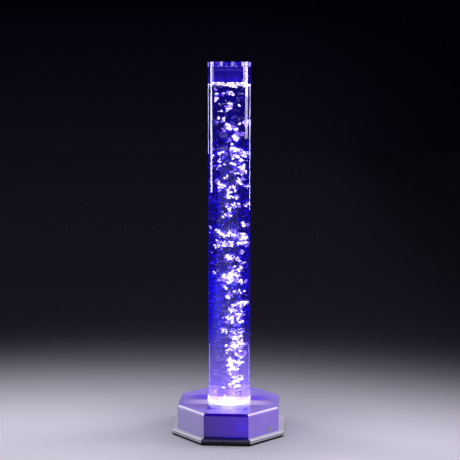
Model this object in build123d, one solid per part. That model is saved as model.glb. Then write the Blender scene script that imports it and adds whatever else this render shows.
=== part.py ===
from build123d import *
import os
from math import cos, radians, sin, sqrt, tan

# Portable bubble tube: a clear acrylic water column that stands in an eight-sided base.
# An air pump in the base blows bubbles through a stone at the foot of the water, and a ring
# of diodes lights them from below. Millimetres, +Z up, origin on the table under the tube's
# axis, front face towards -Y.

# Clearances between pieces
slip_gap = 0.15           # round pieces that slide together and stay put
running_gap = 0.3         # pieces that move past each other
pin_gap = 0.06            # a pin in its bearing, a screw in its hole
overrun = 1.0             # how far a cutter runs past the face it cuts

# Acrylic tube
tube_outer_diameter = 100.0
tube_wall = 5.0
tube_shown_length = 798.0  # from the top of the base to the tube's rim
tube_seat_depth = 40.0     # the length that stands inside the base
tube_rim_chamfer = 0.6

# Floor of the water: a clear plug in the foot of the tube
plug_rise = 34.0           # how far the plug shows above the base
well_diameter = 38.0
well_depth = 30.0
air_passage_diameter = 3.0
seal_section = 3.0
seal_spacing = 12.0        # from the tube's foot to a seal, and on to the next
groove_slack = 0.3

# Air stone in the well
stone_diameter = 30.0
stone_height = 14.0
stone_dome = 5.0
stone_nipple_diameter = 6.0
stone_nipple_length = 6.0

# Opal collar round the tube's foot
collar_height = 10.0
collar_wall = 1.9
collar_edge = 0.7
collar_spigot_wall = 1.0
collar_spigot_depth = 3.2

# Cap on the tube
cap_rim_height = 10.0
cap_top_thickness = 3.0
cap_spigot_depth = 18.0
cap_spigot_wall = 3.2
cap_land_count = 12        # polished lands round the rim, with shallow finger hollows between
cap_land_width = 7.0
cap_hollow_depth = 0.8
cap_first_land_angle = 12.0
cap_vent_count = 6
cap_vent_diameter = 4.0
cap_vent_circle = 50.0
cap_seal_section = 2.4

# Eight-sided housing
housing_width = 241.0      # across the front and rear faces, and across the side faces
housing_face_width = 104.0  # front, rear and side faces; the four corner faces are narrower
housing_height = 58.5
housing_wall = 4.0
housing_bevel = 5.0        # the bright bevel round the top
housing_corner_radius = 1.2
housing_boss_diameter = 11.0
housing_boss_inset = 9.0   # from the outer wall to a boss's centre
hole_gap = 0.25            # round the collar's spigot

# Base plate
plate_lip = 12.0           # how far the plate stands out past the housing
plate_thickness = 10.0
plate_edge_bevel = 1.0
plate_groove_height = 1.2
plate_groove_depth = 0.8
plate_slot_count = 7
plate_slot_width = 3.0
plate_slot_length = 26.0
plate_slot_pitch = 7.0

# Rubber feet
foot_height = 3.0
foot_diameter = 22.0
foot_spigot_diameter = 8.0
foot_spigot_height = 2.0
foot_edge = 0.8
foot_inset = 22.0          # from a corner face of the plate to a foot's centre

# Screws: thread and head diameters, and head height
screw_diameter = 3.0
screw_head_diameter = 5.6
screw_head_height = 2.0
screw_bite = 10.0          # how far a screw goes into its boss
small_screw_diameter = 2.5
small_screw_head_diameter = 4.5
small_screw_head_height = 1.8

# Socket that holds the tube
socket_wall = 3.0
socket_flange_width = 14.0
socket_boss_length = 6.0
socket_boss_diameter = 8.0
socket_screw_count = 6
socket_light_opening = 76.0
socket_bite = 5.0

# Light board under the tube
circuit_thickness = 1.6
light_board_gap = 3.0      # from the socket's floor to the board, the height of the spacers
light_board_hole = 18.0
light_board_edge = 2.0     # from the socket's outside to the board's rim
light_spacer_diameter = 6.0
light_spacer_count = 4
diode_count = 12
diode_size = 5.0
diode_height = 1.6
diode_circle = 58.0

# Air elbow in the plug, and the hose
hose_diameter = 6.0
hose_bore_diameter = 4.2
hose_bend_radius = 24.0
bend_share = 0.45          # the most of a straight run that one bend may use
hose_axis_rise = 6.5       # above the base plate
barb_diameter = 4.0
barb_length = 8.0
barb_passage_diameter = 1.8
elbow_thread_diameter = 8.0
elbow_thread_length = 12.0
elbow_nut_size = 13.0
elbow_nut_height = 3.0
elbow_stem_diameter = 7.0
elbow_shoulder = 7.0

# Ball valve that keeps the water out of the pump
ball_diameter = 6.0
ball_travel = 1.5
ball_side_gap = 0.5
valve_wall = 2.4
valve_end_wall = 3.0
valve_lap = 3.0
valve_from_front = 28.5    # from the housing's front wall to the valve's axis
valve_off_centre = 40.0

# Air pump
pump_width = 34.0
pump_length = 76.0
pump_tray_thickness = 3.0
pump_foot_height = 4.0
pump_foot_diameter = 8.0
pump_neck_diameter = 4.0
pump_neck_height = 5.0
pump_foot_inset = 5.0
core_depth = 16.0
core_leg = 6.0
core_window = 6.5
core_height = 12.0
core_from_rear = 4.0
coil_gap = 0.3
magnet_gap = 3.0
magnet_thickness = 3.0
arm_thickness = 2.5
arm_height = 9.0
arm_overhang = 3.0
arm_barrel_diameter = 7.0
arm_pin_diameter = 3.0
head_size = 22.0
head_depth = 9.0
bellows_diameter = 16.0
bellows_mouth_diameter = 12.5
bellows_wall = 1.2
plunger_diameter = 7.0
plunger_length = 4.0
nozzle_boss_diameter = 6.0
nozzle_boss_length = 3.0

# Battery
cell_diameter = 18.4
cell_length = 65.0
cell_nub_diameter = 6.0
cell_nub_height = 1.2
cell_count = 2             # one above the other
holder_wall = 1.8
contact_thickness = 0.8

# Control board at the rear
board_length = 60.0
board_width = 34.0
board_height = 6.0         # of the pillars it stands on
pillar_diameter = 6.0
pillar_inset = 4.0
chip_size = 9.0
chip_height = 1.6
capacitor_diameter = 8.0
capacitor_height = 10.0
plug_block_length = 9.0
plug_block_width = 6.0
plug_block_height = 7.0
plug_block_pitch = 14.0

# Rocker switch in the rear face
switch_length = 21.0
switch_width = 15.0
switch_bezel = 2.0
switch_body_length = 19.0
switch_body_width = 13.0
switch_body_depth = 17.0
switch_rim = 1.2
switch_well_depth = 11.0
rocker_pivot_depth = 3.0   # behind the bezel's face
rocker_crown = 3.4
rocker_waist = 2.2
rocker_thickness = 5.0
rocker_pin_diameter = 2.4
rocker_tilt = 8.0
switch_from_centre = 18.0
rear_fitting_height = 36.0  # above the base plate

# Power inlet in the rear face
inlet_flange_diameter = 14.0
inlet_flange_thickness = 1.6
inlet_body_diameter = 11.0
inlet_body_depth = 14.0
inlet_bore_diameter = 5.7
inlet_bore_depth = 9.5
inlet_pin_diameter = 2.1
inlet_pin_length = 8.5
inlet_nut_size = 15.0
inlet_nut_thickness = 2.4

# Colour button in the right front corner face
button_diameter = 14.0
button_proud = 0.8
button_travel = 1.0
button_rim = 1.6
button_rim_thickness = 1.5
button_stem_diameter = 4.0
button_stem_length = 5.0
button_height = 10.0       # its centre above the base plate
button_share = 0.184       # its way to the right of the face's middle, as a share of the face
button_dome = 0.5
contact_block_size = 12.0
contact_block_depth = 6.0
plunger_bore_depth = 3.0
bracket_thickness = 2.0
bracket_foot = 12.0

# Remote-control eye in the plate's front edge
eye_diameter = 4.0
eye_length = 30.0
eye_off_centre = -5.0
receiver_size = 8.0
receiver_height = 6.0

# Leads
lead_diameter = 2.4
lead_bend_radius = 5.0
lead_clear = 2.5
lead_from_board_edge = 7.0

# Levels and radii that follow from the sizes above
plate_bottom = foot_height
plate_top = plate_bottom + plate_thickness
housing_top = plate_top + housing_height
ceiling = housing_top - housing_wall
tube_radius = tube_outer_diameter / 2
bore_radius = tube_radius - tube_wall
tube_bottom = housing_top - tube_seat_depth
tube_top = housing_top + tube_shown_length
plug_radius = bore_radius - slip_gap
plug_top = housing_top + plug_rise
well_floor = plug_top - well_depth
socket_bore = tube_radius + slip_gap
socket_radius = socket_bore + socket_wall
socket_floor = tube_bottom - socket_wall
light_board_top = socket_floor - light_board_gap
light_board_bottom = light_board_top - circuit_thickness
hose_height = plate_top + hose_axis_rise
half_width = housing_width / 2
face_half = housing_face_width / 2
inner_half = half_width - housing_wall
ring_gap = (inner_half + socket_radius) / 2   # halfway between the socket and a side wall
octagon_spread = 2 - sqrt(2)                  # how fast a corner leg shrinks when the walls move in
board_top = plate_top + board_height + circuit_thickness


def corner_leg(inset):
    """Leg of an eight-sided outline's 45 degree corner, for walls moved in by inset."""
    return half_width - face_half - inset * octagon_spread


def octagon_points(inset):
    """Corners of the base's outline, moved in by inset, anticlockwise from the front right."""
    outer = half_width - inset
    near = outer - corner_leg(inset)
    return [
        (near, -outer),
        (outer, -near),
        (outer, near),
        (near, outer),
        (-near, outer),
        (-outer, near),
        (-outer, -near),
        (-near, -outer),
    ]


def octagon(inset, corner_radius):
    """Face of the base's outline, with its corners rounded a little."""
    face = make_face(Polyline(*octagon_points(inset), close=True))
    return fillet(face.vertices(), corner_radius)


def bevelled_octagon(inset, corner_radius, bottom, top, bevel):
    """An eight-sided block whose top edges are bevelled at 45 degrees."""
    lower = extrude(Pos(0, 0, bottom) * octagon(inset, corner_radius), top - bevel - bottom)
    outline = Pos(0, 0, top - bevel) * octagon(inset, corner_radius)
    rim = Pos(0, 0, top) * octagon(inset + bevel, corner_radius)
    return lower + loft([outline, rim], ruled=True)


def corner_face_place(inset, along, height):
    """A frame on the right front corner face: +Z out of the face, +X along it to the right."""
    middle = half_width - inset - corner_leg(inset) / 2
    step = along * sin(radians(45))
    origin = Vector(middle + step, -middle + step, height)
    return Plane(origin=origin, x_dir=(1, 1, 0), z_dir=(1, -1, 0))


def cylinder_up(diameter, bottom, top):
    """A round bar on the Z axis, from one level to another."""
    return Pos(0, 0, bottom) * Cylinder(
        diameter / 2, top - bottom, align=(Align.CENTER, Align.CENTER, Align.MIN)
    )


def ring_up(outer_radius, inner_radius, bottom, top):
    """A round sleeve on the Z axis, from one level to another."""
    return cylinder_up(2 * outer_radius, bottom, top) - cylinder_up(
        2 * inner_radius, bottom - overrun, top + overrun
    )


def block_up(length, width, height):
    """A block that stands on the XY plane."""
    return Box(length, width, height, align=(Align.CENTER, Align.CENTER, Align.MIN))


def torus_seal(outer_radius, section, level):
    """A round seal lying in a groove, its outside at outer_radius."""
    return Pos(0, 0, level) * Torus(outer_radius - section / 2, section / 2)


def screw_up(diameter, head_diameter, head_height, length):
    """A countersunk screw that points up, its flat head at the origin."""
    head = Cone(
        head_diameter / 2, diameter / 2, head_height, align=(Align.CENTER, Align.CENTER, Align.MIN)
    )
    shank = cylinder_up(diameter, 0, length)
    recess = cylinder_up(diameter / 2, -overrun, head_height / 2)
    return head + shank - recess


def pan_screw_down(diameter, head_diameter, head_height, length):
    """A pan-head screw that points down, the underside of its head at the origin."""
    head = cylinder_up(head_diameter, 0, head_height)
    head = fillet(head.edges().group_by(Axis.Z)[-1], head_height / 3)
    cross = Pos(0, 0, head_height) * Box(head_diameter / 2, diameter / 5, head_height)
    return head + cylinder_up(diameter, -length, 0) - cross - Rot(0, 0, 90) * cross


def group(solids):
    """Several separate solids of one node."""
    return Compound(children=[Part(s.wrapped) if not isinstance(s, Part) else s for s in solids])


# Water column


def make_tube():
    """Cast acrylic tube with its two rims eased."""
    tube = ring_up(tube_radius, bore_radius, tube_bottom, tube_top)
    rim = tube.edges().group_by(Axis.Z)[-1]
    return chamfer(rim, tube_rim_chamfer)


def seal_level(number):
    """Middle of a plug seal, counted up from the tube's foot."""
    return tube_bottom + (number + 1) * seal_spacing


def make_plug():
    """Clear plug that is the floor of the water, with a well for the air stone."""
    plug = cylinder_up(2 * plug_radius, tube_bottom, plug_top)
    plug -= cylinder_up(well_diameter, well_floor, plug_top + overrun)
    plug -= cylinder_up(air_passage_diameter, tube_bottom - overrun, well_floor + overrun)
    plug -= cylinder_up(
        elbow_thread_diameter + 2 * pin_gap,
        tube_bottom - overrun,
        tube_bottom + elbow_thread_length + slip_gap,
    )
    nipple_hole = stone_nipple_diameter + 2 * pin_gap
    plug -= cylinder_up(nipple_hole, well_floor - stone_nipple_length - slip_gap, plug_top)
    groove_radius = bore_radius - pin_gap - seal_section - pin_gap
    half_groove = seal_section / 2 + groove_slack
    for number in range(2):
        level = seal_level(number)
        plug -= ring_up(plug_radius + overrun, groove_radius, level - half_groove, level + half_groove)
    return plug


def make_plug_seals():
    """Two rubber rings that seal the plug in the tube."""
    return group(
        [torus_seal(bore_radius - pin_gap, seal_section, seal_level(number)) for number in range(2)]
    )


def make_stone():
    """Porous air stone with a domed top, pushed into the plug by its nipple."""
    body = cylinder_up(stone_diameter, well_floor, well_floor + stone_height)
    body = fillet(body.edges().group_by(Axis.Z)[-1], stone_dome)
    nipple = cylinder_up(stone_nipple_diameter, well_floor - stone_nipple_length, well_floor)
    bore = cylinder_up(
        air_passage_diameter, well_floor - stone_nipple_length - overrun, well_floor + stone_height / 2
    )
    return body + nipple - bore


collar_bore = tube_radius + slip_gap
collar_radius = collar_bore + collar_wall
collar_spigot_radius = collar_bore + collar_spigot_wall


def make_collar():
    """Opal ring that glows round the tube, seated in the hole of the housing's top."""
    ring = ring_up(collar_radius, collar_bore, housing_top, housing_top + collar_height)
    outer_edge = ring.edges().group_by(Axis.Z)[-1].sort_by(SortBy.LENGTH)[-1]
    ring = fillet(outer_edge, collar_edge)
    spigot = ring_up(collar_spigot_radius, collar_bore, housing_top - collar_spigot_depth, housing_top)
    return ring + spigot


cap_seal_level = tube_top - cap_spigot_depth / 2
cap_spigot_radius = bore_radius - 2 * running_gap
cap_seal_radius = bore_radius - running_gap


def make_cap():
    """Clear cap: a rim with polished lands over the tube's end, and a spigot inside it."""
    rim_top = tube_top + cap_rim_height
    inside_top = rim_top - cap_top_thickness
    cap = cylinder_up(2 * (tube_radius - cap_hollow_depth), tube_top, rim_top)
    land = block_up(cap_land_width, cap_land_width, cap_rim_height)
    disc = cylinder_up(2 * tube_radius, tube_top, rim_top)
    for number in range(cap_land_count):
        angle = cap_first_land_angle + number * 360 / cap_land_count
        placed = Rot(0, 0, angle) * Pos(0, -tube_radius, tube_top) * land
        cap += placed & disc
    cap += cylinder_up(2 * cap_spigot_radius, tube_top - cap_spigot_depth, tube_top)
    cap -= cylinder_up(
        2 * (cap_spigot_radius - cap_spigot_wall), tube_top - cap_spigot_depth - overrun, inside_top
    )
    half_groove = (cap_seal_section + groove_slack) / 2
    cap -= ring_up(
        cap_spigot_radius + overrun,
        cap_seal_radius - cap_seal_section - pin_gap,
        cap_seal_level - half_groove,
        cap_seal_level + half_groove,
    )
    for number in range(cap_vent_count):
        vent = cylinder_up(cap_vent_diameter, inside_top - overrun, rim_top + overrun)
        cap -= Rot(0, 0, number * 360 / cap_vent_count) * Pos(cap_vent_circle / 2, 0, 0) * vent
    return cap


def make_cap_seal():
    """Rubber ring in the groove of the cap's spigot."""
    return torus_seal(cap_seal_radius, cap_seal_section, cap_seal_level)


# Base housing, plate and feet


def boss_places():
    """Where the housing's eight screw bosses stand."""
    return octagon_points(housing_boss_inset)


def socket_screw_places():
    """Points of the circle of screws that holds the socket."""
    radius = socket_radius + socket_flange_width / 2
    step = 360 / socket_screw_count
    turns = [radians((number + 1 / 2) * step) for number in range(socket_screw_count)]
    return [(radius * cos(turn), radius * sin(turn)) for turn in turns]


rear_height = plate_top + rear_fitting_height
button_off_centre = corner_leg(0) * sqrt(2) * button_share
button_place = corner_face_place(0, button_off_centre, plate_top + button_height)
fit_gap = 2 * slip_gap


def switch_place():
    """A frame on the rear face at the rocker switch: +Z out of the face, +Y up."""
    return Plane(origin=(-switch_from_centre, half_width, rear_height), x_dir=(-1, 0, 0), z_dir=(0, 1, 0))


def inlet_place():
    """A frame on the rear face at the power inlet: +Z out of the face."""
    return Plane(origin=(switch_from_centre, half_width, rear_height), x_dir=(-1, 0, 0), z_dir=(0, 1, 0))


def make_housing():
    """Moulded eight-sided cover with a bevelled top, screw bosses and the openings in its walls."""
    shell = bevelled_octagon(0, housing_corner_radius, plate_top, housing_top, housing_bevel)
    inside_bevel = max(housing_bevel - housing_wall * octagon_spread, housing_wall / 10)
    shell -= bevelled_octagon(
        housing_wall, housing_corner_radius, plate_top - overrun, ceiling, inside_bevel
    )
    for x, y in boss_places():
        boss = Pos(x, y, 0) * cylinder_up(housing_boss_diameter, plate_top, ceiling)
        shell += boss
    hollow_top = plate_top + screw_bite + overrun
    for x, y in boss_places():
        shell -= Pos(x, y, 0) * cylinder_up(screw_diameter + 2 * pin_gap, plate_top - overrun, hollow_top)
    for x, y in socket_screw_places():
        boss = cylinder_up(socket_boss_diameter, ceiling - socket_boss_length, ceiling)
        pilot_bottom = ceiling - socket_boss_length - overrun
        pilot_top = ceiling - socket_boss_length + socket_bite + slip_gap
        shell += Pos(x, y, 0) * boss
        shell -= Pos(x, y, 0) * cylinder_up(small_screw_diameter + 2 * pin_gap, pilot_bottom, pilot_top)
    hole = 2 * (collar_spigot_radius + hole_gap)
    shell -= cylinder_up(hole, ceiling - overrun, housing_top + overrun)
    deep = 2 * housing_wall
    window = Box(switch_body_width + fit_gap, switch_body_length + fit_gap, deep)
    shell -= switch_place() * window
    shell -= inlet_place() * Cylinder(inlet_body_diameter / 2 + slip_gap, deep)
    shell -= button_place * Cylinder(button_diameter / 2 + running_gap, deep)
    return shell


def plate_corner_offset():
    """Distance from the axis to the plate's corner faces."""
    outer = half_width + plate_lip
    return (2 * outer - corner_leg(-plate_lip)) / sqrt(2)


def foot_places():
    """The four feet, one inside each corner face of the plate."""
    reach = (plate_corner_offset() - foot_inset) / sqrt(2)
    return [(reach * sx, reach * sy) for sx, sy in ((1, -1), (1, 1), (-1, 1), (-1, -1))]


def make_plate():
    """Thick plate under the housing: grooved edge, screw holes, foot holes and air slots."""
    corner_radius = housing_corner_radius
    plate = bevelled_octagon(-plate_lip, corner_radius, plate_bottom, plate_top, plate_edge_bevel)
    outside = octagon(-plate_lip - overrun, corner_radius)
    band = outside - octagon(-plate_lip + plate_groove_depth, corner_radius)
    middle = plate_bottom + (plate_thickness - plate_groove_height) / 2
    plate -= extrude(Pos(0, 0, middle) * band, plate_groove_height)
    hole_diameter = screw_diameter + 2 * pin_gap
    for x, y in boss_places():
        place = Pos(x, y, 0)
        plate -= place * cylinder_up(hole_diameter, plate_bottom - overrun, plate_top + overrun)
        sink = Cone(
            screw_head_diameter / 2 + pin_gap,
            screw_diameter / 2 + pin_gap,
            screw_head_height,
            align=(Align.CENTER, Align.CENTER, Align.MIN),
        )
        plate -= place * Pos(0, 0, plate_bottom) * sink
    for x, y in foot_places():
        hole_top = plate_bottom + foot_spigot_height + slip_gap
        hole = cylinder_up(foot_spigot_diameter + 2 * slip_gap, plate_bottom - overrun, hole_top)
        plate -= Pos(x, y, 0) * hole
    slot = extrude(SlotOverall(plate_slot_length, plate_slot_width), plate_thickness + 2 * overrun)
    for number in range(plate_slot_count):
        x = (number - (plate_slot_count - 1) / 2) * plate_slot_pitch
        plate -= Pos(x, ring_gap, plate_bottom - overrun) * Rot(0, 0, 90) * slot
    eye_level = plate_bottom + plate_thickness / 2
    front = -half_width - plate_lip
    tunnel = Cylinder(
        eye_diameter / 2 + slip_gap, eye_length + overrun, align=(Align.CENTER, Align.CENTER, Align.MAX)
    )
    plate -= Pos(eye_off_centre, front + eye_length, eye_level) * Rot(-90, 0, 0) * tunnel
    pocket = block_up(receiver_size + fit_gap, receiver_size + fit_gap, plate_thickness)
    plate -= Pos(eye_off_centre, receiver_middle(), eye_level - receiver_height / 2) * pocket
    return plate


def make_feet():
    """Four rubber feet, each with a spigot in the plate."""
    foot = cylinder_up(foot_diameter, 0, foot_height)
    foot = chamfer(foot.edges().group_by(Axis.Z)[0], foot_edge)
    foot += cylinder_up(foot_spigot_diameter, foot_height, foot_height + foot_spigot_height)
    return group([Pos(x, y, 0) * foot for x, y in foot_places()])


def make_plate_screws():
    """Eight countersunk screws up through the plate into the housing's bosses."""
    screw = screw_up(
        screw_diameter, screw_head_diameter, screw_head_height, plate_thickness + screw_bite
    )
    return group([Pos(x, y, plate_bottom) * screw for x, y in boss_places()])


# Socket and light


def make_socket():
    """Cup under the housing's top that carries the tube's foot."""
    flange_top = ceiling - socket_boss_length
    flange_radius = socket_radius + socket_flange_width
    socket = ring_up(socket_radius, socket_bore, socket_floor, flange_top)
    socket += ring_up(flange_radius, socket_bore, flange_top - socket_wall, flange_top)
    socket += ring_up(socket_radius, socket_light_opening / 2, socket_floor, tube_bottom)
    for x, y in socket_screw_places():
        hole = cylinder_up(
            small_screw_diameter + 2 * pin_gap, flange_top - socket_wall - overrun, flange_top + overrun
        )
        socket -= Pos(x, y, 0) * hole
    for x, y in spacer_places():
        pilot = cylinder_up(
            small_screw_diameter + 2 * pin_gap, socket_floor - overrun, socket_floor + socket_wall / 2
        )
        socket -= Pos(x, y, 0) * pilot
    return socket


def make_socket_screws():
    """Six screws up through the socket's flange into the housing."""
    flange_bottom = ceiling - socket_boss_length - socket_wall
    screw = Rot(180, 0, 0) * pan_screw_down(
        small_screw_diameter, small_screw_head_diameter, small_screw_head_height, socket_wall + socket_bite
    )
    return group([Pos(x, y, flange_bottom) * screw for x, y in socket_screw_places()])


def spacer_places():
    """Where the light board's spacers stand, under the socket's floor."""
    radius = (socket_light_opening / 2 + socket_radius) / 2
    step = 360 / light_spacer_count
    turns = [radians((number + 1 / 2) * step) for number in range(light_spacer_count)]
    return [(radius * cos(turn), radius * sin(turn)) for turn in turns]


light_board_radius = socket_radius - light_board_edge


def make_light_board():
    """Round circuit board with a hole for the air elbow."""
    board = ring_up(light_board_radius, light_board_hole / 2, light_board_bottom, light_board_top)
    for x, y in spacer_places():
        hole = cylinder_up(
            small_screw_diameter + 2 * pin_gap, light_board_bottom - overrun, light_board_top + overrun
        )
        board -= Pos(x, y, 0) * hole
    return board


def make_light_spacers():
    """Brass spacers between the socket and the light board."""
    spacer = ring_up(
        light_spacer_diameter / 2, small_screw_diameter / 2 + pin_gap, light_board_top, socket_floor
    )
    return group([Pos(x, y, 0) * spacer for x, y in spacer_places()])


def make_light_screws():
    """Screws up through the light board and its spacers into the socket."""
    length = circuit_thickness + light_board_gap + socket_wall / 2 - slip_gap
    screw = Rot(180, 0, 0) * pan_screw_down(
        small_screw_diameter, small_screw_head_diameter, small_screw_head_height, length
    )
    return group([Pos(x, y, light_board_bottom) * screw for x, y in spacer_places()])


def make_diodes():
    """Ring of light diodes, each a square package with a round lens."""
    package = block_up(diode_size, diode_size, diode_height * 2 / 3)
    lens = cylinder_up(diode_size * 4 / 5, diode_height * 2 / 3, diode_height)
    places = [number * 360 / diode_count for number in range(diode_count)]
    place = Pos(diode_circle / 2, 0, light_board_top)
    return group([Rot(0, 0, angle) * place * (package + lens) for angle in places])


# Air line


def barb_along_x():
    """A hose barb that points along +X, its root at the origin."""
    tip = barb_diameter / 4
    profile = make_face(
        Polyline(
            (0, 0),
            (0, barb_diameter / 2 - barb_diameter / 10),
            (barb_length / 2, barb_diameter / 2 - barb_diameter / 10),
            (barb_length / 2, barb_diameter / 2),
            (barb_length, tip),
            (barb_length, 0),
            close=True,
        )
    )
    return revolve(profile, Axis.X)


def passage_along_x(start, end):
    """The air passage of a fitting, as a cutter along +X."""
    passage = Cylinder(
        barb_passage_diameter / 2, end - start, align=(Align.CENTER, Align.CENTER, Align.MIN)
    )
    return Pos(start, 0, 0) * Rot(0, 90, 0) * passage


def make_elbow():
    """Brass elbow screwed up into the plug, with its barb towards the front."""
    stem = cylinder_up(elbow_stem_diameter, hose_height, tube_bottom)
    thread = cylinder_up(elbow_thread_diameter, tube_bottom, tube_bottom + elbow_thread_length)
    hexagon = RegularPolygon(elbow_nut_size / 2, 6, major_radius=False)
    nut = extrude(Pos(0, 0, tube_bottom - elbow_nut_height) * hexagon, elbow_nut_height)
    knee = Pos(0, 0, hose_height) * Sphere(elbow_stem_diameter / 2)
    arm = Rot(0, 90, 0) * cylinder_up(elbow_stem_diameter, 0, elbow_shoulder)
    side = arm + Pos(elbow_shoulder, 0, 0) * barb_along_x()
    side_passage = passage_along_x(0, elbow_shoulder + barb_length + overrun)
    turn = Pos(0, 0, hose_height) * Rot(0, 0, -90)
    up_passage = cylinder_up(
        barb_passage_diameter, hose_height, tube_bottom + elbow_thread_length + overrun
    )
    elbow = stem + thread + nut + knee + turn * side
    return elbow - turn * side_passage - up_passage


ball_radius = ball_diameter / 2
chamber_radius = ball_radius + ball_side_gap
valve_radius = chamber_radius + valve_wall
chamber_length = ball_diameter + ball_travel + 2 * running_gap
valve_length = chamber_length + 2 * valve_end_wall
valve_x = -valve_off_centre
valve_y = -inner_half + valve_from_front
valve_place = Pos(valve_x, valve_y, hose_height)


def make_valve_body():
    """Inlet half of the valve: its end wall, seat and barb, and a cup for the ball."""
    start = -valve_length / 2
    along = Rot(0, 90, 0)
    cup_end = start + valve_end_wall + chamber_length
    cup = along * cylinder_up(2 * valve_radius, start, cup_end)
    cup -= along * cylinder_up(2 * chamber_radius, start + valve_end_wall, cup_end + overrun)
    lap_radius = (chamber_radius + valve_radius) / 2
    lap = along * ring_up(valve_radius + overrun, lap_radius, cup_end - valve_lap, cup_end + overrun)
    cup -= lap
    cup += Pos(start, 0, 0) * Rot(0, 0, 180) * barb_along_x()
    cup -= passage_along_x(start - barb_length - overrun, 0)
    return valve_place * cup


def make_valve_cover():
    """Outlet half of the valve: a lid that laps over the cup, with ribs that stop the ball."""
    end = valve_length / 2
    along = Rot(0, 90, 0)
    lap_radius = (chamber_radius + valve_radius) / 2 + pin_gap
    wall_start = end - valve_end_wall
    lid = along * cylinder_up(2 * valve_radius, wall_start - valve_lap + slip_gap, end)
    lid -= along * cylinder_up(2 * lap_radius, wall_start - valve_lap - overrun, wall_start)
    lid += Pos(end, 0, 0) * barb_along_x()
    lid -= passage_along_x(0, end + barb_length + overrun)
    return valve_place * lid


def make_valve_ball():
    """Ball that closes the seat when the pump stops."""
    seat = -valve_length / 2 + valve_end_wall + running_gap
    return valve_place * Pos(seat + ball_radius, 0, 0) * Sphere(ball_radius)


def tube_along(path, outer_radius, inner_radius):
    """A tube swept along a path of lines and arcs."""
    start = Plane(origin=path @ 0, z_dir=path % 0)
    body = sweep(start * Circle(outer_radius), path=path)
    if inner_radius > 0:
        body -= sweep(start * Circle(inner_radius), path=path)
    return body


def bend_radii(points, largest):
    """A bend's radius at each inner point: the largest, or what the shorter run beside it allows."""
    radii = []
    for before, corner, after in zip(points, points[1:], points[2:]):
        turn = radians((corner - before).get_angle(after - corner))
        shorter = min((corner - before).length, (after - corner).length)
        radii.append(min(largest, shorter * bend_share / tan(turn / 2)))
    return radii


def make_stone_hose():
    """Hose from the valve to the elbow under the tube."""
    start = valve_x + valve_length / 2 + slip_gap
    end = -elbow_shoulder - slip_gap
    points = [(start, valve_y), (0, valve_y), (0, end)]
    path = FilletPolyline(
        *[Vector(x, y, hose_height) for x, y in points], radius=hose_bend_radius
    )
    return tube_along(path, hose_diameter / 2, hose_bore_diameter / 2)


# Air pump, modelled about the middle of its tray's underside, +X towards the tube

pump_place = Pos(-ring_gap, 0, plate_top + pump_foot_height)
arm_level = pump_tray_thickness + core_leg + core_window + core_height / 2
core_length = 3 * core_leg + 2 * core_window
core_y = pump_length / 2 - core_from_rear - core_length / 2
core_x = -pump_width / 2 + core_from_rear
core_face = core_x + core_depth
magnet_x = core_face + magnet_gap
arm_x = magnet_x + magnet_thickness
pivot_y = -pump_length / 2 + 2 * pump_foot_inset + arm_barrel_diameter / 2
arm_middle = arm_x + arm_thickness / 2
head_y = pivot_y + arm_barrel_diameter / 2 + head_size / 2 + overrun
head_x = -pump_width / 2 + head_depth / 2
head_face = head_x + head_depth / 2
nozzle_x = head_x
nozzle_level = pump_tray_thickness + head_size / 3


def pump_foot_places():
    """Where the tray's four rubber mounts stand."""
    x = pump_width / 2 - pump_foot_inset
    y = pump_length / 2 - pump_foot_inset
    return [(x * sx, y * sy) for sx, sy in ((1, -1), (1, 1), (-1, 1), (-1, -1))]


def make_pump_tray():
    """Moulded tray with a rest for the core and two ears for the arm's pin."""
    tray = block_up(pump_width, pump_length, pump_tray_thickness)
    tray = fillet(tray.edges().filter_by(Axis.Z), pump_foot_inset / 2)
    for x, y in pump_foot_places():
        tray -= Pos(x, y, 0) * cylinder_up(
            pump_neck_diameter + 2 * pin_gap, -overrun, pump_tray_thickness + overrun
        )
    rest_height = arm_level - core_height / 2 - pump_tray_thickness
    for side in (-1, 1):
        y = core_y + side * (core_length - core_leg) / 2
        rest = block_up(core_depth / 2, core_leg, rest_height)
        tray += Pos(core_x + core_depth * 2 / 3, y, pump_tray_thickness) * rest
    ear_bottom = arm_level - arm_height / 2 - running_gap
    post = block_up(arm_barrel_diameter, arm_barrel_diameter, ear_bottom - pump_tray_thickness)
    tray += Pos(arm_middle, pivot_y, pump_tray_thickness) * post
    tray -= Pos(arm_middle, pivot_y, 0) * cylinder_up(
        arm_pin_diameter + 2 * pin_gap, pump_tray_thickness, arm_level
    )
    return pump_place * tray


def make_pump_mounts():
    """Rubber mounts: a round foot under the tray and a neck through it."""
    foot = cylinder_up(pump_foot_diameter, -pump_foot_height, 0)
    foot += cylinder_up(pump_neck_diameter, 0, pump_neck_height)
    return group([pump_place * Pos(x, y, 0) * foot for x, y in pump_foot_places()])


def make_pump_core():
    """Laminated iron core in the shape of an E, its legs towards the arm."""
    core = Box(core_depth, core_length, core_height)
    window = Box(core_depth - core_leg + overrun, core_window, core_height + 2 * overrun)
    for side in (-1, 1):
        core -= Pos((core_leg + overrun) / 2, side * (core_leg + core_window) / 2, 0) * window
    return pump_place * Pos(core_x + core_depth / 2, core_y, arm_level) * core


def make_pump_coil():
    """Copper winding round the core's middle leg."""
    length = core_depth - core_leg - 2 * coil_gap
    build = core_window - 2 * coil_gap
    hollow_y = core_leg + 2 * coil_gap
    hollow_z = core_height + 2 * coil_gap
    coil = Box(length, hollow_y + 2 * build - 2 * coil_gap, hollow_z + 2 * build)
    coil = fillet(coil.edges().filter_by(Axis.X), build / 2)
    coil -= Box(length + 2 * overrun, hollow_y, hollow_z)
    return pump_place * Pos(core_x + core_leg + coil_gap + length / 2, core_y, arm_level) * coil


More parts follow.
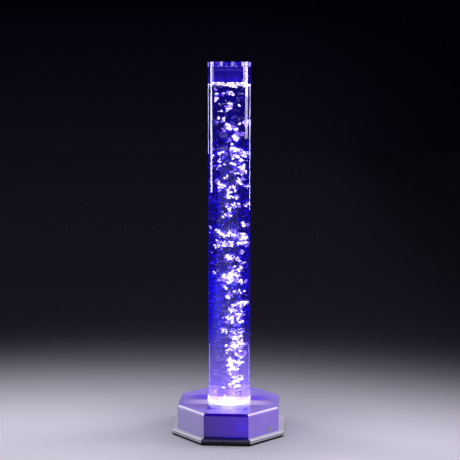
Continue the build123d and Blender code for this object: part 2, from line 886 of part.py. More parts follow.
def make_pump_arm():
    """Swinging arm: barrel at the pivot, flat bar, and the plunger that works the bellows."""
    bar_start = pivot_y
    bar_end = core_y + core_length / 2 + arm_overhang
    bar = Box(arm_thickness, bar_end - bar_start, arm_height)
    arm = Pos(arm_middle, (bar_start + bar_end) / 2, arm_level) * bar
    barrel = cylinder_up(arm_barrel_diameter, arm_level - arm_height / 2, arm_level + arm_height / 2)
    arm += Pos(arm_middle, pivot_y, 0) * barrel
    plunger = Rot(0, 90, 0) * cylinder_up(plunger_diameter, -plunger_length, 0)
    arm += Pos(arm_x, head_y, arm_level) * plunger
    arm -= Pos(arm_middle, pivot_y, 0) * cylinder_up(
        arm_pin_diameter + 2 * pin_gap, arm_level - arm_height, arm_level + arm_height
    )
    return pump_place * arm


def make_pump_magnet():
    """Magnet on the arm, facing the core's legs."""
    magnet = Box(magnet_thickness, core_length, arm_height)
    return pump_place * Pos(magnet_x + magnet_thickness / 2, core_y, arm_level) * magnet


def make_pump_pin():
    """Steel pin that the arm swings on."""
    pin_top = arm_level + arm_height / 2 + running_gap
    pin = cylinder_up(arm_pin_diameter, pump_tray_thickness + slip_gap, pin_top)
    return pump_place * Pos(arm_middle, pivot_y, 0) * pin


def make_pump_head():
    """Valve head of the pump, with the outlet nozzle towards the front."""
    head = block_up(head_depth, head_size, arm_level + head_size / 2 - pump_tray_thickness)
    head = fillet(head.edges().filter_by(Axis.X).group_by(Axis.Z)[-1], head_depth / 4)
    head = Pos(head_x, head_y, pump_tray_thickness) * head
    boss = Rot(0, 90, 0) * cylinder_up(nozzle_boss_diameter, 0, nozzle_boss_length)
    nozzle = boss + Pos(nozzle_boss_length, 0, 0) * barb_along_x()
    front = Pos(nozzle_x, head_y - head_size / 2, nozzle_level) * Rot(0, 0, -90)
    head += front * nozzle
    head -= front * passage_along_x(-head_depth / 2, nozzle_boss_length + barb_length + overrun)
    return pump_place * head


def make_pump_bellows():
    """Rubber bellows between the head and the arm, an open cup with two folds."""
    reach = arm_x - plunger_length - running_gap - head_face
    mouth_reach = arm_x - running_gap * 5 - head_face
    wide = bellows_diameter / 2
    mouth = bellows_mouth_diameter / 2
    outline = [
        (0, 0),
        (0, wide),
        (mouth_reach / 3, mouth),
        (mouth_reach * 2 / 3, wide),
        (mouth_reach, mouth),
        (mouth_reach, mouth - bellows_wall),
        (mouth_reach * 2 / 3, wide - bellows_wall),
        (mouth_reach / 3, mouth - bellows_wall),
        (reach / 4, wide - bellows_wall * 2),
        (reach / 4, 0),
    ]
    bellows = revolve(make_face(Polyline(*outline, close=True)), Axis.X)
    return pump_place * Pos(head_face, head_y, arm_level) * bellows


def make_pump_hose():
    """Hose from the pump's nozzle round the front corner to the valve."""
    pump_x = -ring_gap + nozzle_x
    nozzle_y = head_y - head_size / 2 - nozzle_boss_length
    nozzle_z = plate_top + pump_foot_height + nozzle_level
    valve_end = valve_x - valve_length / 2 - slip_gap
    last = valve_end - barb_length * 2
    points = [
        Vector(pump_x, nozzle_y - slip_gap, nozzle_z),
        Vector(pump_x, nozzle_y - barb_length * 3 / 2, nozzle_z),
        Vector(last, valve_y, hose_height),
        Vector(valve_end, valve_y, hose_height),
    ]
    path = FilletPolyline(*points, radius=bend_radii(points, hose_bend_radius))
    return tube_along(path, hose_diameter / 2, hose_bore_diameter / 2)


# Battery, modelled about the middle of its holder's underside, cells along Y

battery_place = Pos(ring_gap, 0, plate_top)
holder_length = cell_length + cell_nub_height + 2 * contact_thickness + 2 * holder_wall + 4 * slip_gap
holder_width = cell_diameter + 2 * holder_wall + 2 * slip_gap
stack_height = cell_count * (cell_diameter + slip_gap)


def cell_level(number):
    """Height of a cell's axis above the holder's underside."""
    return holder_wall + slip_gap + cell_diameter / 2 + number * (cell_diameter + slip_gap)


def make_battery_holder():
    """Open-sided tray with an end wall at each end of the cells."""
    tray = block_up(holder_width, holder_length, holder_wall)
    end_height = holder_wall + stack_height
    for side in (-1, 1):
        wall = block_up(holder_width, holder_wall, end_height)
        tray += Pos(0, side * (holder_length - holder_wall) / 2, 0) * wall
    for side in (-1, 1):
        rail = block_up(holder_wall, holder_length, holder_wall + cell_diameter / 3)
        tray += Pos(side * (holder_width - holder_wall) / 2, 0, 0) * rail
    return battery_place * tray


def make_battery_cells():
    """Rechargeable cells with a nub at the positive end, one above the other."""
    cells = []
    for number in range(cell_count):
        cell = cylinder_up(cell_diameter, -cell_length / 2, cell_length / 2)
        cell = fillet(cell.edges(), cell_nub_height / 2)
        cell += cylinder_up(cell_nub_diameter, cell_length / 2, cell_length / 2 + cell_nub_height)
        flip = Rot(90 if number % 2 else -90, 0, 0)
        shift = -cell_nub_height / 2 if number % 2 == 0 else cell_nub_height / 2
        cells.append(battery_place * Pos(0, shift, cell_level(number)) * flip * cell)
    return group(cells)


def make_battery_contacts():
    """Sprung metal strips at the two ends of the cells."""
    strips = []
    y = holder_length / 2 - holder_wall - slip_gap - contact_thickness / 2
    for side in (-1, 1):
        strip = block_up(cell_nub_diameter, contact_thickness, stack_height - cell_diameter / 2)
        strips.append(battery_place * Pos(0, side * y, cell_diameter / 3) * strip)
    return group(strips)


# Control board between the socket and the rear wall, modelled about the middle of its underside

board_middle_y = ring_gap
board_place = Pos(0, board_middle_y, plate_top + board_height)


def pillar_places():
    """Corners of the control board's pattern of screws."""
    x = board_length / 2 - pillar_inset
    y = board_width / 2 - pillar_inset
    return [(x * sx, y * sy) for sx, sy in ((1, -1), (1, 1), (-1, 1), (-1, -1))]


def make_board_pillars():
    """Four pillars that hold the control board off the plate."""
    pillar = ring_up(pillar_diameter / 2, small_screw_diameter / 2 + pin_gap, -board_height, 0)
    return group([board_place * Pos(x, y, 0) * pillar for x, y in pillar_places()])


def make_control_board():
    """Control board with rounded corners and four screw holes."""
    board = block_up(board_length, board_width, circuit_thickness)
    board = fillet(board.edges().filter_by(Axis.Z), pillar_inset / 2)
    for x, y in pillar_places():
        hole = cylinder_up(small_screw_diameter + 2 * pin_gap, -overrun, circuit_thickness + overrun)
        board -= Pos(x, y, 0) * hole
    return board_place * board


def make_board_screws():
    """Four screws down through the control board into its pillars."""
    screw = pan_screw_down(
        small_screw_diameter, small_screw_head_diameter, small_screw_head_height, board_height
    )
    return group([board_place * Pos(x, y, circuit_thickness) * screw for x, y in pillar_places()])


def make_board_chips():
    """The processor and three drivers on the board."""
    column = board_length / 5
    chips = [Pos(-column, 0, circuit_thickness) * block_up(chip_size, chip_size, chip_height)]
    driver = block_up(chip_size / 2, chip_size / 2, chip_height)
    for number in range(3):
        x = (number + 1 / 2) * chip_size * 3 / 4
        chips.append(Pos(x, -board_width / 5, circuit_thickness) * driver)
    return group([board_place * chip for chip in chips])


def make_board_capacitors():
    """Two tall capacitors with a rolled rim."""
    can = cylinder_up(capacitor_diameter, circuit_thickness, circuit_thickness + capacitor_height)
    can = fillet(can.edges().group_by(Axis.Z)[-1], capacitor_diameter / 10)
    pitch = capacitor_diameter * 5 / 4
    return group([board_place * Pos((number + 1 / 4) * pitch, 0, 0) * can for number in range(2)])


def plug_block_places():
    """Middles of the board's three plug blocks, along its front edge."""
    y = (plug_block_width - board_width) / 2 + overrun
    return [((number - 1) * plug_block_pitch, y) for number in range(3)]


def make_board_plugs():
    """White plug blocks where the leads meet the board."""
    block = block_up(plug_block_length, plug_block_width, plug_block_height)
    hollow = Box(plug_block_length * 3 / 4, plug_block_width / 2, plug_block_height / 2)
    block -= Pos(0, 0, plug_block_height) * hollow
    return group([board_place * Pos(x, y, circuit_thickness) * block for x, y in plug_block_places()])


# Rocker switch, power inlet, colour button and remote eye


def make_switch_body():
    """Switch frame: a bezel outside the rear wall and a box with a well inside it."""
    bezel = Pos(0, 0, 0) * block_up(switch_width, switch_length, switch_bezel)
    bezel = chamfer(bezel.edges().group_by(Axis.Z)[-1], switch_bezel / 4)
    box = Pos(0, 0, -switch_body_depth) * block_up(switch_body_width, switch_body_length, switch_body_depth)
    body = bezel + box
    well = block_up(
        switch_body_width - 2 * switch_rim, switch_body_length - 2 * switch_rim, switch_well_depth + overrun
    )
    body -= Pos(0, 0, switch_bezel - switch_well_depth) * well
    pin_hole = Rot(0, 90, 0) * Cylinder(rocker_pin_diameter / 2 + pin_gap, switch_body_width - switch_rim)
    body -= Pos(0, 0, switch_bezel - rocker_pivot_depth) * pin_hole
    return switch_place() * body


def make_rocker():
    """Rocker with a dished face and a pin, pressed at its upper end."""
    half = switch_body_length / 2 - switch_rim - running_gap - rocker_crown * sin(radians(rocker_tilt))
    outline = [
        (-half, rocker_crown),
        (0, rocker_waist),
        (half, rocker_crown),
        (half, -rocker_thickness / 3),
        (half / 2, -rocker_thickness / 2),
        (-half / 2, -rocker_thickness / 2),
        (-half, -rocker_thickness / 3),
    ]
    face = Plane.YZ * make_face(Polyline(*outline, close=True))
    wide = switch_body_width - 2 * switch_rim - 2 * running_gap
    rocker = extrude(face, wide / 2, both=True)
    pin_length = switch_body_width - switch_rim - 2 * slip_gap
    rocker += Rot(0, 90, 0) * Cylinder(rocker_pin_diameter / 2, pin_length)
    return switch_place() * Pos(0, 0, switch_bezel - rocker_pivot_depth) * Rot(-rocker_tilt, 0, 0) * rocker


def make_inlet():
    """Power inlet: a flange outside the wall, a threaded barrel inside it, and the centre pin."""
    flange = cylinder_up(inlet_flange_diameter, 0, inlet_flange_thickness)
    flange = chamfer(flange.edges().group_by(Axis.Z)[-1], inlet_flange_thickness / 3)
    body = flange + cylinder_up(inlet_body_diameter, -inlet_body_depth, 0)
    bore_bottom = inlet_flange_thickness - inlet_bore_depth
    body -= cylinder_up(inlet_bore_diameter, bore_bottom, inlet_flange_thickness + overrun)
    body += cylinder_up(inlet_pin_diameter, bore_bottom, bore_bottom + inlet_pin_length)
    return inlet_place() * body


def make_inlet_nut():
    """Nut that clamps the inlet to the rear wall."""
    nut = RegularPolygon(inlet_nut_size / 2, 6, major_radius=False)
    nut = extrude(Pos(0, 0, -housing_wall - inlet_nut_thickness) * nut, inlet_nut_thickness)
    nut -= cylinder_up(
        inlet_body_diameter + 2 * pin_gap, -housing_wall - inlet_nut_thickness - overrun, 0
    )
    return inlet_place() * nut


button_rim_back = -housing_wall - running_gap - button_rim_thickness
contact_front = button_rim_back - button_stem_length - button_travel - running_gap


def make_button():
    """Round push button with a rim behind the wall and a stem to its switch."""
    cap = cylinder_up(button_diameter, button_rim_back, button_proud)
    cap = fillet(cap.edges().group_by(Axis.Z)[-1], button_dome)
    rim_diameter = button_diameter + 2 * (button_rim + running_gap)
    rim = cylinder_up(rim_diameter, button_rim_back, button_rim_back + button_rim_thickness)
    stem = cylinder_up(button_stem_diameter, button_rim_back - button_stem_length, button_rim_back)
    return button_place * (cap + rim + stem)


def make_button_plunger():
    """Plunger of the button's switch, pushed by the stem."""
    tip = button_rim_back - button_stem_length
    plunger = cylinder_up(button_stem_diameter * 3 / 4, tip - button_travel - plunger_bore_depth / 2, tip)
    return button_place * plunger


def make_button_switch():
    """Small push switch behind the button."""
    block = Pos(0, 0, contact_front - contact_block_depth) * block_up(
        contact_block_size, contact_block_size, contact_block_depth
    )
    bore_bottom = contact_front - plunger_bore_depth
    bore_diameter = button_stem_diameter * 3 / 4 + 2 * running_gap
    bore = cylinder_up(bore_diameter, bore_bottom, contact_front + overrun)
    return button_place * (block - bore)


def make_button_bracket():
    """Bent strip that stands on the plate and holds the switch behind the button."""
    back = contact_front - contact_block_depth
    top = contact_block_size / 2
    height = button_height + top
    upright = Pos(0, top - height / 2, back - bracket_thickness / 2) * Box(
        contact_block_size, height, bracket_thickness
    )
    foot = Pos(0, -button_height + bracket_thickness / 2, back - bracket_foot / 2) * Box(
        contact_block_size, bracket_thickness, bracket_foot
    )
    return button_place * (upright + foot)


def receiver_middle():
    """Y of the middle of the remote receiver, just behind the eye."""
    return -half_width - plate_lip + eye_length + receiver_size / 2 + fit_gap / 2


eye_place = Pos(eye_off_centre, -half_width - plate_lip, plate_bottom + plate_thickness / 2)


def make_eye():
    """Dark light guide in the plate's edge with a domed end."""
    rod = Rot(-90, 0, 0) * cylinder_up(eye_diameter, plate_groove_depth, eye_length - slip_gap)
    rod = fillet(rod.edges().group_by(Axis.Y)[0], eye_diameter / 4)
    return eye_place * rod


def make_receiver():
    """Remote receiver in a pocket of the plate, behind the light guide."""
    block = block_up(receiver_size, receiver_size, receiver_height)
    level = plate_bottom + (plate_thickness - receiver_height) / 2
    return Pos(eye_off_centre, receiver_middle(), level) * block


# Leads, each swept along straight runs joined by arcs


def lead_along(points):
    """A round lead through the given points."""
    points = [Vector(*point) for point in points]
    if len(points) > 2:
        path = FilletPolyline(*points, radius=bend_radii(points, lead_bend_radius))
    else:
        path = Line(*points)
    return tube_along(path, lead_diameter / 2, 0)


def make_leads():
    """Leads from the control board to the pump, lights, battery, switch, inlet, button and eye."""
    pump_plug, light_plug, battery_plug = plug_block_places()
    plug_y = board_middle_y + pump_plug[1]
    plug_front = plug_y - plug_block_width / 2
    plug_top_level = board_top + plug_block_height
    fitting_end = half_width - switch_body_depth
    rear_y = min(
        board_middle_y + board_width / 2 - lead_from_board_edge,
        fitting_end - lead_bend_radius - lead_clear,
    )

    coil_x = -ring_gap + core_x + core_leg + (core_depth - core_leg) / 2
    coil_rear = core_y + core_leg / 2 + core_window - coil_gap
    coil_level = plate_top + pump_foot_height + arm_level + core_height / 2 + coil_gap + lead_diameter
    pump_lead = [
        (pump_plug[0], plug_y, plug_top_level),
        (pump_plug[0], plug_y, coil_level),
        (coil_x, plug_y, coil_level),
        (coil_x, coil_rear, coil_level),
    ]

    light_level = light_board_bottom + circuit_thickness / 2
    light_lead = [
        (light_plug[0], plug_front, light_level),
        (light_plug[0], light_board_radius, light_level),
    ]

    battery_level = plug_top_level + lead_bend_radius + lead_clear
    battery_lead = [
        (battery_plug[0], plug_y, plug_top_level),
        (battery_plug[0], plug_y, battery_level),
        (ring_gap, plug_y, battery_level),
        (ring_gap, holder_length / 2, battery_level),
    ]

    switch_lead = [
        (-switch_from_centre, fitting_end, rear_height),
        (-switch_from_centre, rear_y, rear_height),
        (-switch_from_centre, rear_y, board_top),
    ]
    inlet_lead = [
        (switch_from_centre, half_width - inlet_body_depth, rear_height),
        (switch_from_centre, rear_y, rear_height),
        (switch_from_centre, rear_y, board_top),
    ]

    block = button_place * Pos(0, contact_block_size / 2, contact_front - contact_block_depth / 2)
    start = block.position
    between_x = (socket_radius + ring_gap - holder_width / 2) / 2
    side_y = holder_length / 2 + 2 * lead_clear
    button_level = battery_level + 2 * lead_clear + lead_diameter
    board_x = board_length / 2 - 2 * pillar_inset
    board_y = board_middle_y - board_width / 2 + 2 * lead_bend_radius
    button_lead = [
        (start.X, start.Y, start.Z),
        (start.X, start.Y, button_level),
        (between_x, start.Y, button_level),
        (between_x, side_y, button_level),
        (board_x, board_y, button_level),
        (board_x, board_y, board_top),
    ]

    eye_top = plate_bottom + (plate_thickness + receiver_height) / 2
    eye_level = plug_top_level - lead_diameter / 2 - slip_gap
    outer_y = plug_front - lead_bend_radius - lead_clear / 2
    eye_lead = [
        (eye_off_centre, receiver_middle(), eye_top),
        (eye_off_centre, receiver_middle(), eye_level),
        (between_x, -side_y, eye_level),
        (between_x, outer_y, eye_level),
        (battery_plug[0] + lead_clear, outer_y, eye_level),
        (battery_plug[0] + lead_clear, plug_front, eye_level),
    ]
    runs = [
        pump_lead,
        light_lead,
        battery_lead,
        switch_lead,
        inlet_lead,
        button_lead,
        eye_lead,
    ]
    return group([lead_along(run) for run in runs])


makers = {
    "tube": make_tube,
    "tube_floor_plug": make_plug,
    "plug_seals": make_plug_seals,
    "air_stone": make_stone,
    "glow_collar": make_collar,
    "tube_cap": make_cap,
    "cap_seal": make_cap_seal,
    "base_housing": make_housing,
    "base_plate": make_plate,
    "rubber_feet": make_feet,
    "plate_screws": make_plate_screws,
    "tube_socket": make_socket,
    "socket_screws": make_socket_screws,
    "light_board": make_light_board,
    "light_spacers": make_light_spacers,
    "light_screws": make_light_screws,
    "light_diodes": make_diodes,
    "air_elbow": make_elbow,
    "valve_body": make_valve_body,
    "valve_cover": make_valve_cover,
    "valve_ball": make_valve_ball,
    "stone_hose": make_stone_hose,
    "pump_hose": make_pump_hose,
    "pump_tray": make_pump_tray,
    "pump_mounts": make_pump_mounts,
    "pump_core": make_pump_core,
    "pump_coil": make_pump_coil,
    "pump_arm": make_pump_arm,
    "pump_magnet": make_pump_magnet,
    "pump_pin": make_pump_pin,
    "pump_head": make_pump_head,
    "pump_bellows": make_pump_bellows,
    "battery_holder": make_battery_holder,
    "battery_cells": make_battery_cells,
    "battery_contacts": make_battery_contacts,
    "board_pillars": make_board_pillars,
    "control_board": make_control_board,
    "board_screws": make_board_screws,
    "board_chips": make_board_chips,
    "board_capacitors": make_board_capacitors,
    "board_plugs": make_board_plugs,
    "switch_body": make_switch_body,
    "power_rocker": make_rocker,
    "power_inlet": make_inlet,
    "inlet_nut": make_inlet_nut,
    "colour_button": make_button,
    "button_plunger": make_button_plunger,
    "button_switch": make_button_switch,
    "button_bracket": make_button_bracket,
    "remote_eye": make_eye,
    "remote_receiver": make_receiver,
    "wiring_leads": make_leads,
}

os.makedirs("parts", exist_ok=True)
for name, make in makers.items():
    export_step(make(), f"parts/{name}.step")
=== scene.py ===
import random
from math import cos, pi, radians, sin, sqrt, tau

import bmesh
import bpy
from mathutils import Euler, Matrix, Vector, noise


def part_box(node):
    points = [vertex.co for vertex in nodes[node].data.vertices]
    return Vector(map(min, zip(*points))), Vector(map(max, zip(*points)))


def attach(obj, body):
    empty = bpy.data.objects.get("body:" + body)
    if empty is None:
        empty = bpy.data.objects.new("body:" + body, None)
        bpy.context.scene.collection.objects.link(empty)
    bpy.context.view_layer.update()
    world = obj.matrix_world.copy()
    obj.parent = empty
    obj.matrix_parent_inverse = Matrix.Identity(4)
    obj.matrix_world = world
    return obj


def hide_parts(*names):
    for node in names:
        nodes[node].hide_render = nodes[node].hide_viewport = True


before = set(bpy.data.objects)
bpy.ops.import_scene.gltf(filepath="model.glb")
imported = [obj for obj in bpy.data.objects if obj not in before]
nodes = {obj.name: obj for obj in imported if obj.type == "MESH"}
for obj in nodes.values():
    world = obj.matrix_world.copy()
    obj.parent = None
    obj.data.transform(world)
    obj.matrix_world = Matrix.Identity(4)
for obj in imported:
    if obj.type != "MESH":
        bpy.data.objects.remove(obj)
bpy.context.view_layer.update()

# Base plate
# A 10 mm aluminium plate, cut to the housing's eight sides, grooved round its edge and blasted to
# a fine satin. The housing stands on it, and every part inside is fixed to it.

mm = 0.001


def tint(red, green, blue):
    """A colour given as it looks on a screen, from 0 to 255, as the shader wants it."""
    return tuple((part / 255) ** 2.2 for part in (red, green, blue))


def scaled(colour, share):
    """The colour, made brighter or darker."""
    return tuple(part * share for part in colour)


class Wire:
    """A shader socket that takes part in sums."""

    def __init__(self, shading, socket):
        self.shading = shading
        self.socket = socket

    def maths(self, operation, *values):
        return self.shading.node("ShaderNodeMath", {"operation": operation}, dict(enumerate(values)))

    def __add__(self, other):
        return self.maths("ADD", self, other)

    def __radd__(self, other):
        return self.maths("ADD", other, self)

    def __sub__(self, other):
        return self.maths("SUBTRACT", self, other)

    def __rsub__(self, other):
        return self.maths("SUBTRACT", other, self)

    def __mul__(self, other):
        return self.maths("MULTIPLY", self, other)

    def __rmul__(self, other):
        return self.maths("MULTIPLY", other, self)

    def __pow__(self, other):
        return self.maths("POWER", self, other)

    def __abs__(self):
        return self.maths("ABSOLUTE", self)

    def over(self, low, high):
        """0 at low and under, 1 at high and over, smooth between."""
        ends = {"Value": self, "From Min": low, "From Max": high}
        return self.shading.node("ShaderNodeMapRange", {"interpolation_type": "SMOOTHSTEP"}, ends)

    def within(self, low, high, soft):
        """1 between low and high, fading to 0 over the distance soft on each side."""
        return self.over(low - soft, low) * (1 - self.over(high, high + soft))


class Shading:
    """A node tree whose nodes are added one call at a time."""

    def __init__(self, tree):
        self.tree = tree

    def node(self, kind, settings, inputs, output=0):
        made = self.tree.nodes.new(kind)
        for name, value in settings.items():
            setattr(made, name, value)
        for name, value in inputs.items():
            self.feed(made.inputs[name], value)
        return Wire(self, made.outputs[output])

    def feed(self, socket, value):
        if isinstance(value, Wire):
            self.tree.links.new(value.socket, socket)
        elif isinstance(value, tuple) and socket.type == "RGBA":
            socket.default_value = (*value, 1.0)
        else:
            socket.default_value = value

    def mix(self, share, a, b):
        """Colour a where share is 0, b where it is 1."""
        return self.node("ShaderNodeMix", {"data_type": "RGBA"}, {0: share, 6: a, 7: b}, 2)


class Finish(Shading):
    """A material, with its nodes round one shader."""

    def __init__(self, name, colour, roughness, **plain):
        self.material = bpy.data.materials.new(name)
        self.material.use_nodes = True
        super().__init__(self.material.node_tree)
        self.shader = self.tree.nodes["Principled BSDF"]
        self.set(Base_Color=colour, Roughness=roughness, **plain)

    def set(self, **sockets):
        """Feeds the shader's sockets, named with _ for a space."""
        for name, value in sockets.items():
            self.feed(self.shader.inputs[name.replace("_", " ")], value)
        return self

    def point(self, axis):
        """One coordinate of the shaded point, in metres in the part's frame."""
        place = self.node("ShaderNodeTexCoord", {}, {}, "Object")
        return self.node("ShaderNodeSeparateXYZ", {}, {0: place}, axis)

    def facing(self, axis):
        """How far the surface faces along an axis."""
        normal = self.node("ShaderNodeTexCoord", {}, {}, "Normal")
        return self.node("ShaderNodeSeparateXYZ", {}, {0: normal}, axis)

    def reach(self):
        """Distance from the tube's axis."""
        x = self.point("X")
        y = self.point("Y")
        return (x * x + y * y) ** 0.5

    def noise(self, scale, detail=2.0, stretch=(1.0, 1.0, 1.0)):
        """Cloudy noise, its scale in repeats to the metre."""
        place = self.node("ShaderNodeTexCoord", {}, {}, "Object")
        place = self.node("ShaderNodeVectorMath", {"operation": "MULTIPLY"}, {0: place, 1: stretch})
        return self.node("ShaderNodeTexNoise", {}, {"Vector": place, "Scale": scale, "Detail": detail})

    def bump(self, height, depth):
        """Raises the surface by depth metres where height is 1."""
        return self.set(Normal=self.node("ShaderNodeBump", {}, {"Distance": depth, "Height": height}))


def dress(finish, *names):
    """Gives CAD nodes their finish, through their own material slots."""
    for name in names:
        for slot in nodes[name].material_slots:
            slot.material = finish.material


plate_low, plate_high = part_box("base_plate")
eye_low, eye_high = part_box("remote_eye")
eye_x = (eye_low.x + eye_high.x) / 2
eye_z = (eye_low.z + eye_high.z) / 2
# Half a front face's width over its distance from the middle: it tells one side from the next
face_share = 0.4315
seam = 0.3 * mm
# The plate's lip starts here, just inside the housing's front face
lip_y = 119 * mm

satin = Finish("blasted_aluminium", tint(150, 148, 160), 0.5, Specular_IOR_Level=0.3)
grain = satin.noise(2600.0)
x = satin.point("X")
y = satin.point("Y")
height = satin.point("Z")
front = (abs(y) * face_share - abs(x)).over(-seam, seam)
flank = (abs(x) * face_share - abs(y)).over(-seam, seam)
# Painted shade: the edge is darker on the front and rear faces
edge = satin.mix(front, tint(172, 170, 182), tint(74, 68, 108))
# A painted highlight runs along the top of the edge on the corner faces
rim = height.over(plate_high.z - 1.6 * mm, plate_high.z - 1.0 * mm) * (1 - front) * (1 - flank)
edge = satin.mix(rim, edge, tint(218, 216, 226))
# The groove is painted darker, as painted shade in it
groove_shade = height.within(plate_low.z + 4.6 * mm, plate_low.z + 5.4 * mm, seam)
edge = satin.mix(groove_shade * 0.5, edge, tint(60, 58, 74))
# Painted shade round the eye's hole, and a painted shadow line along the edge's foot, higher on the
# front and rear
from_eye = ((x - eye_x) ** 2.0 + (height - eye_z) ** 2.0) ** 0.5
eye_hole_shade = (1 - from_eye.over(2.6 * mm, 3.4 * mm)) * (1 - y.over(-130 * mm, -120 * mm))
foot_shadow = 1 - (height - front * 4.0 * mm).over(plate_low.z + 1.2 * mm, plate_low.z + 2.8 * mm)
edge = satin.mix(foot_shadow.maths("MAXIMUM", foot_shadow, eye_hole_shade), edge, tint(6, 5, 9))
# The top is a little darker on the flanks, and a painted reflection of the housing's dark face lies on
# the front and rear lip
face = satin.mix(flank, tint(200, 198, 212), tint(188, 186, 198))
on_lip = abs(y).over(lip_y, lip_y + 1 * mm)
face = satin.mix(front * on_lip, face, tint(46, 40, 72))
surface = satin.mix(satin.facing("Z").over(0.85, 0.95), edge, face)
surface = satin.mix(grain * 0.12, surface, tint(110, 108, 120))
satin.set(Base_Color=surface, Roughness=0.45 + grain * 0.2, Metallic=0.1 - foot_shadow * 0.1)
satin.bump(grain, 0.02 * mm)
dress(satin, "base_plate")

# Feet
# Four soft rubber discs, each pressed by its spigot into a hole in the plate, so that the lamp
# stands a little off the table, with a line of shadow under it, and doesn't slide.


def moulded(name, colour, roughness, scale=1800.0, depth=0.03 * mm):
    """A moulded surface: a fine even grain, a little lighter on its peaks."""
    finish = Finish(name, colour, roughness)
    fine = finish.noise(scale)
    broad = finish.noise(scale / 40)
    shade = finish.mix(fine, scaled(colour, 0.8), scaled(colour, 1.2))
    finish.set(Base_Color=finish.mix(broad * 0.3, shade, scaled(colour, 0.7)))
    finish.set(Roughness=roughness * 0.8 + fine * (roughness * 0.4))
    return finish.bump(fine, depth)


black_rubber = moulded("black_rubber", tint(38, 37, 40), 0.75, 1200.0, 0.05 * mm)
dress(black_rubber, "rubber_feet")

# Steel screws
# Countersunk screws hold the plate to the housing's bosses, and small pan-head screws hold the
# socket, the light board and the control board. All are steel, zinc plated.


def turned(name, colour, roughness):
    """A machined metal surface with fine tool marks that run round it."""
    finish = Finish(name, colour, roughness, Metallic=1.0)
    marks = finish.noise(900.0, 3.0, (1.0, 1.0, 6.0))
    cloud = finish.noise(140.0)
    shade = finish.mix(marks, scaled(colour, 0.82), colour)
    finish.set(Base_Color=finish.mix(cloud * 0.35, shade, scaled(colour, 0.7)))
    finish.set(Roughness=roughness * 0.7 + marks * (roughness * 0.6))
    return finish.bump(marks, 0.01 * mm)


zinc_steel = turned("zinc_plated_steel", tint(190, 192, 198), 0.3)
dress(zinc_steel, "plate_screws", "socket_screws", "light_screws", "board_screws")

# Tube socket
# A black moulded cup under the housing's top, with a flange for six screws. The tube's foot
# stands in it, over an open floor that lets the light up.

black_moulding = moulded("black_moulding", tint(40, 40, 44), 0.5)
dress(black_moulding, "tube_socket")

# Light board
# A round circuit board on brass spacers under the socket, with twelve light diodes on a circle.
# The diodes glow violet-white, and their light goes up through the clear plug.

solder_mask = Finish("green_solder_mask", tint(20, 96, 52), 0.3)
tracks = solder_mask.noise(420.0, 1.0)
lanes = tracks.within(0.46, 0.5, 0.01) + tracks.within(0.56, 0.6, 0.01)
solder_mask.set(Base_Color=solder_mask.mix(lanes, tint(16, 84, 46), tint(44, 128, 70)))
solder_mask.set(Roughness=0.25 + solder_mask.noise(300.0) * 0.2)
solder_mask.bump(lanes, 0.03 * mm)
dress(solder_mask, "light_board")

turned_brass = turned("turned_brass", tint(196, 164, 92), 0.28)
dress(turned_brass, "light_spacers")

diode_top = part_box("light_diodes")[1].z
diode_lens = Finish("lit_diode", tint(240, 236, 226), 0.3)
lens = diode_lens.point("Z").over(diode_top - 0.5 * mm, diode_top)
diode_glow = diode_lens.mix(lens, (0.05, 0.04, 0.12), (0.75, 0.62, 1.0))
diode_lens.set(Emission_Color=diode_glow, Emission_Strength=3.0)
dress(diode_lens, "light_diodes")

# Air line
# A brass elbow screwed into the plug, a ball valve in two white halves that keeps the water out
# of the pump, and two clear silicone hoses pushed over their barbs.

dress(turned_brass, "air_elbow")
white_moulding = moulded("white_moulding", tint(226, 226, 222), 0.45)
dress(white_moulding, "valve_body", "valve_cover")
dress(black_rubber, "valve_ball")

silicone = moulded("clear_silicone", tint(206, 212, 210), 0.35, 260.0, 0.02 * mm)
dress(silicone, "stone_hose", "pump_hose")

# Air pump
# A tray on four rubber mounts carries a laminated iron core with its copper coil. The coil swings
# a sprung arm with a magnet on it, and the arm works a rubber bellows on the pump's head.

dress(black_moulding, "pump_tray", "pump_head")
dress(black_rubber, "pump_mounts", "pump_bellows")
dress(white_moulding, "pump_arm")
dress(zinc_steel, "pump_pin")

iron = Finish("laminated_iron", tint(92, 92, 98), 0.45, Metallic=0.9)
sheet = iron.noise(60.0, 2.0, (1.0, 1.0, 60.0))
iron.set(Base_Color=iron.mix(sheet, tint(64, 62, 66), tint(118, 118, 124)))
iron.set(Roughness=0.35 + sheet * 0.25).bump(sheet, 0.05 * mm)
dress(iron, "pump_core", "pump_magnet")

copper = Finish("enamelled_copper", tint(176, 92, 44), 0.25, Metallic=0.9, Coat_Weight=0.5)
turns = copper.noise(90.0, 2.0, (30.0, 1.0, 1.0))
copper.set(Base_Color=copper.mix(turns, tint(120, 52, 24), tint(206, 118, 62)))
copper.set(Roughness=0.2 + turns * 0.2).bump(turns, 0.12 * mm)
dress(copper, "pump_coil")

# Battery
# Two rechargeable cells in blue shrink sleeves, one above the other in an open black holder with
# sprung steel contacts at its ends.

sleeve = moulded("blue_shrink_sleeve", tint(44, 92, 178), 0.3, 500.0, 0.02 * mm)
dress(sleeve, "battery_cells")
dress(black_moulding, "battery_holder")
dress(zinc_steel, "battery_contacts")

# Control board
# A green circuit board on four brass pillars behind the tube socket, with a processor, three
# drivers, two capacitors and three white plug blocks for the leads.

dress(solder_mask, "control_board")
dress(turned_brass, "board_pillars")
dress(white_moulding, "board_plugs")
dress(sleeve, "board_capacitors")
chip_moulding = moulded("chip_moulding", tint(46, 46, 48), 0.6, 2400.0, 0.02 * mm)
dress(chip_moulding, "board_chips")

# Rear switch and power inlet
# A black rocker switch snapped into the rear face, and a round power inlet held by a steel nut.
# The rocker is polished, with a white dash and ring moulded into its two ends.

dress(black_moulding, "switch_body", "power_inlet")
dress(zinc_steel, "inlet_nut")

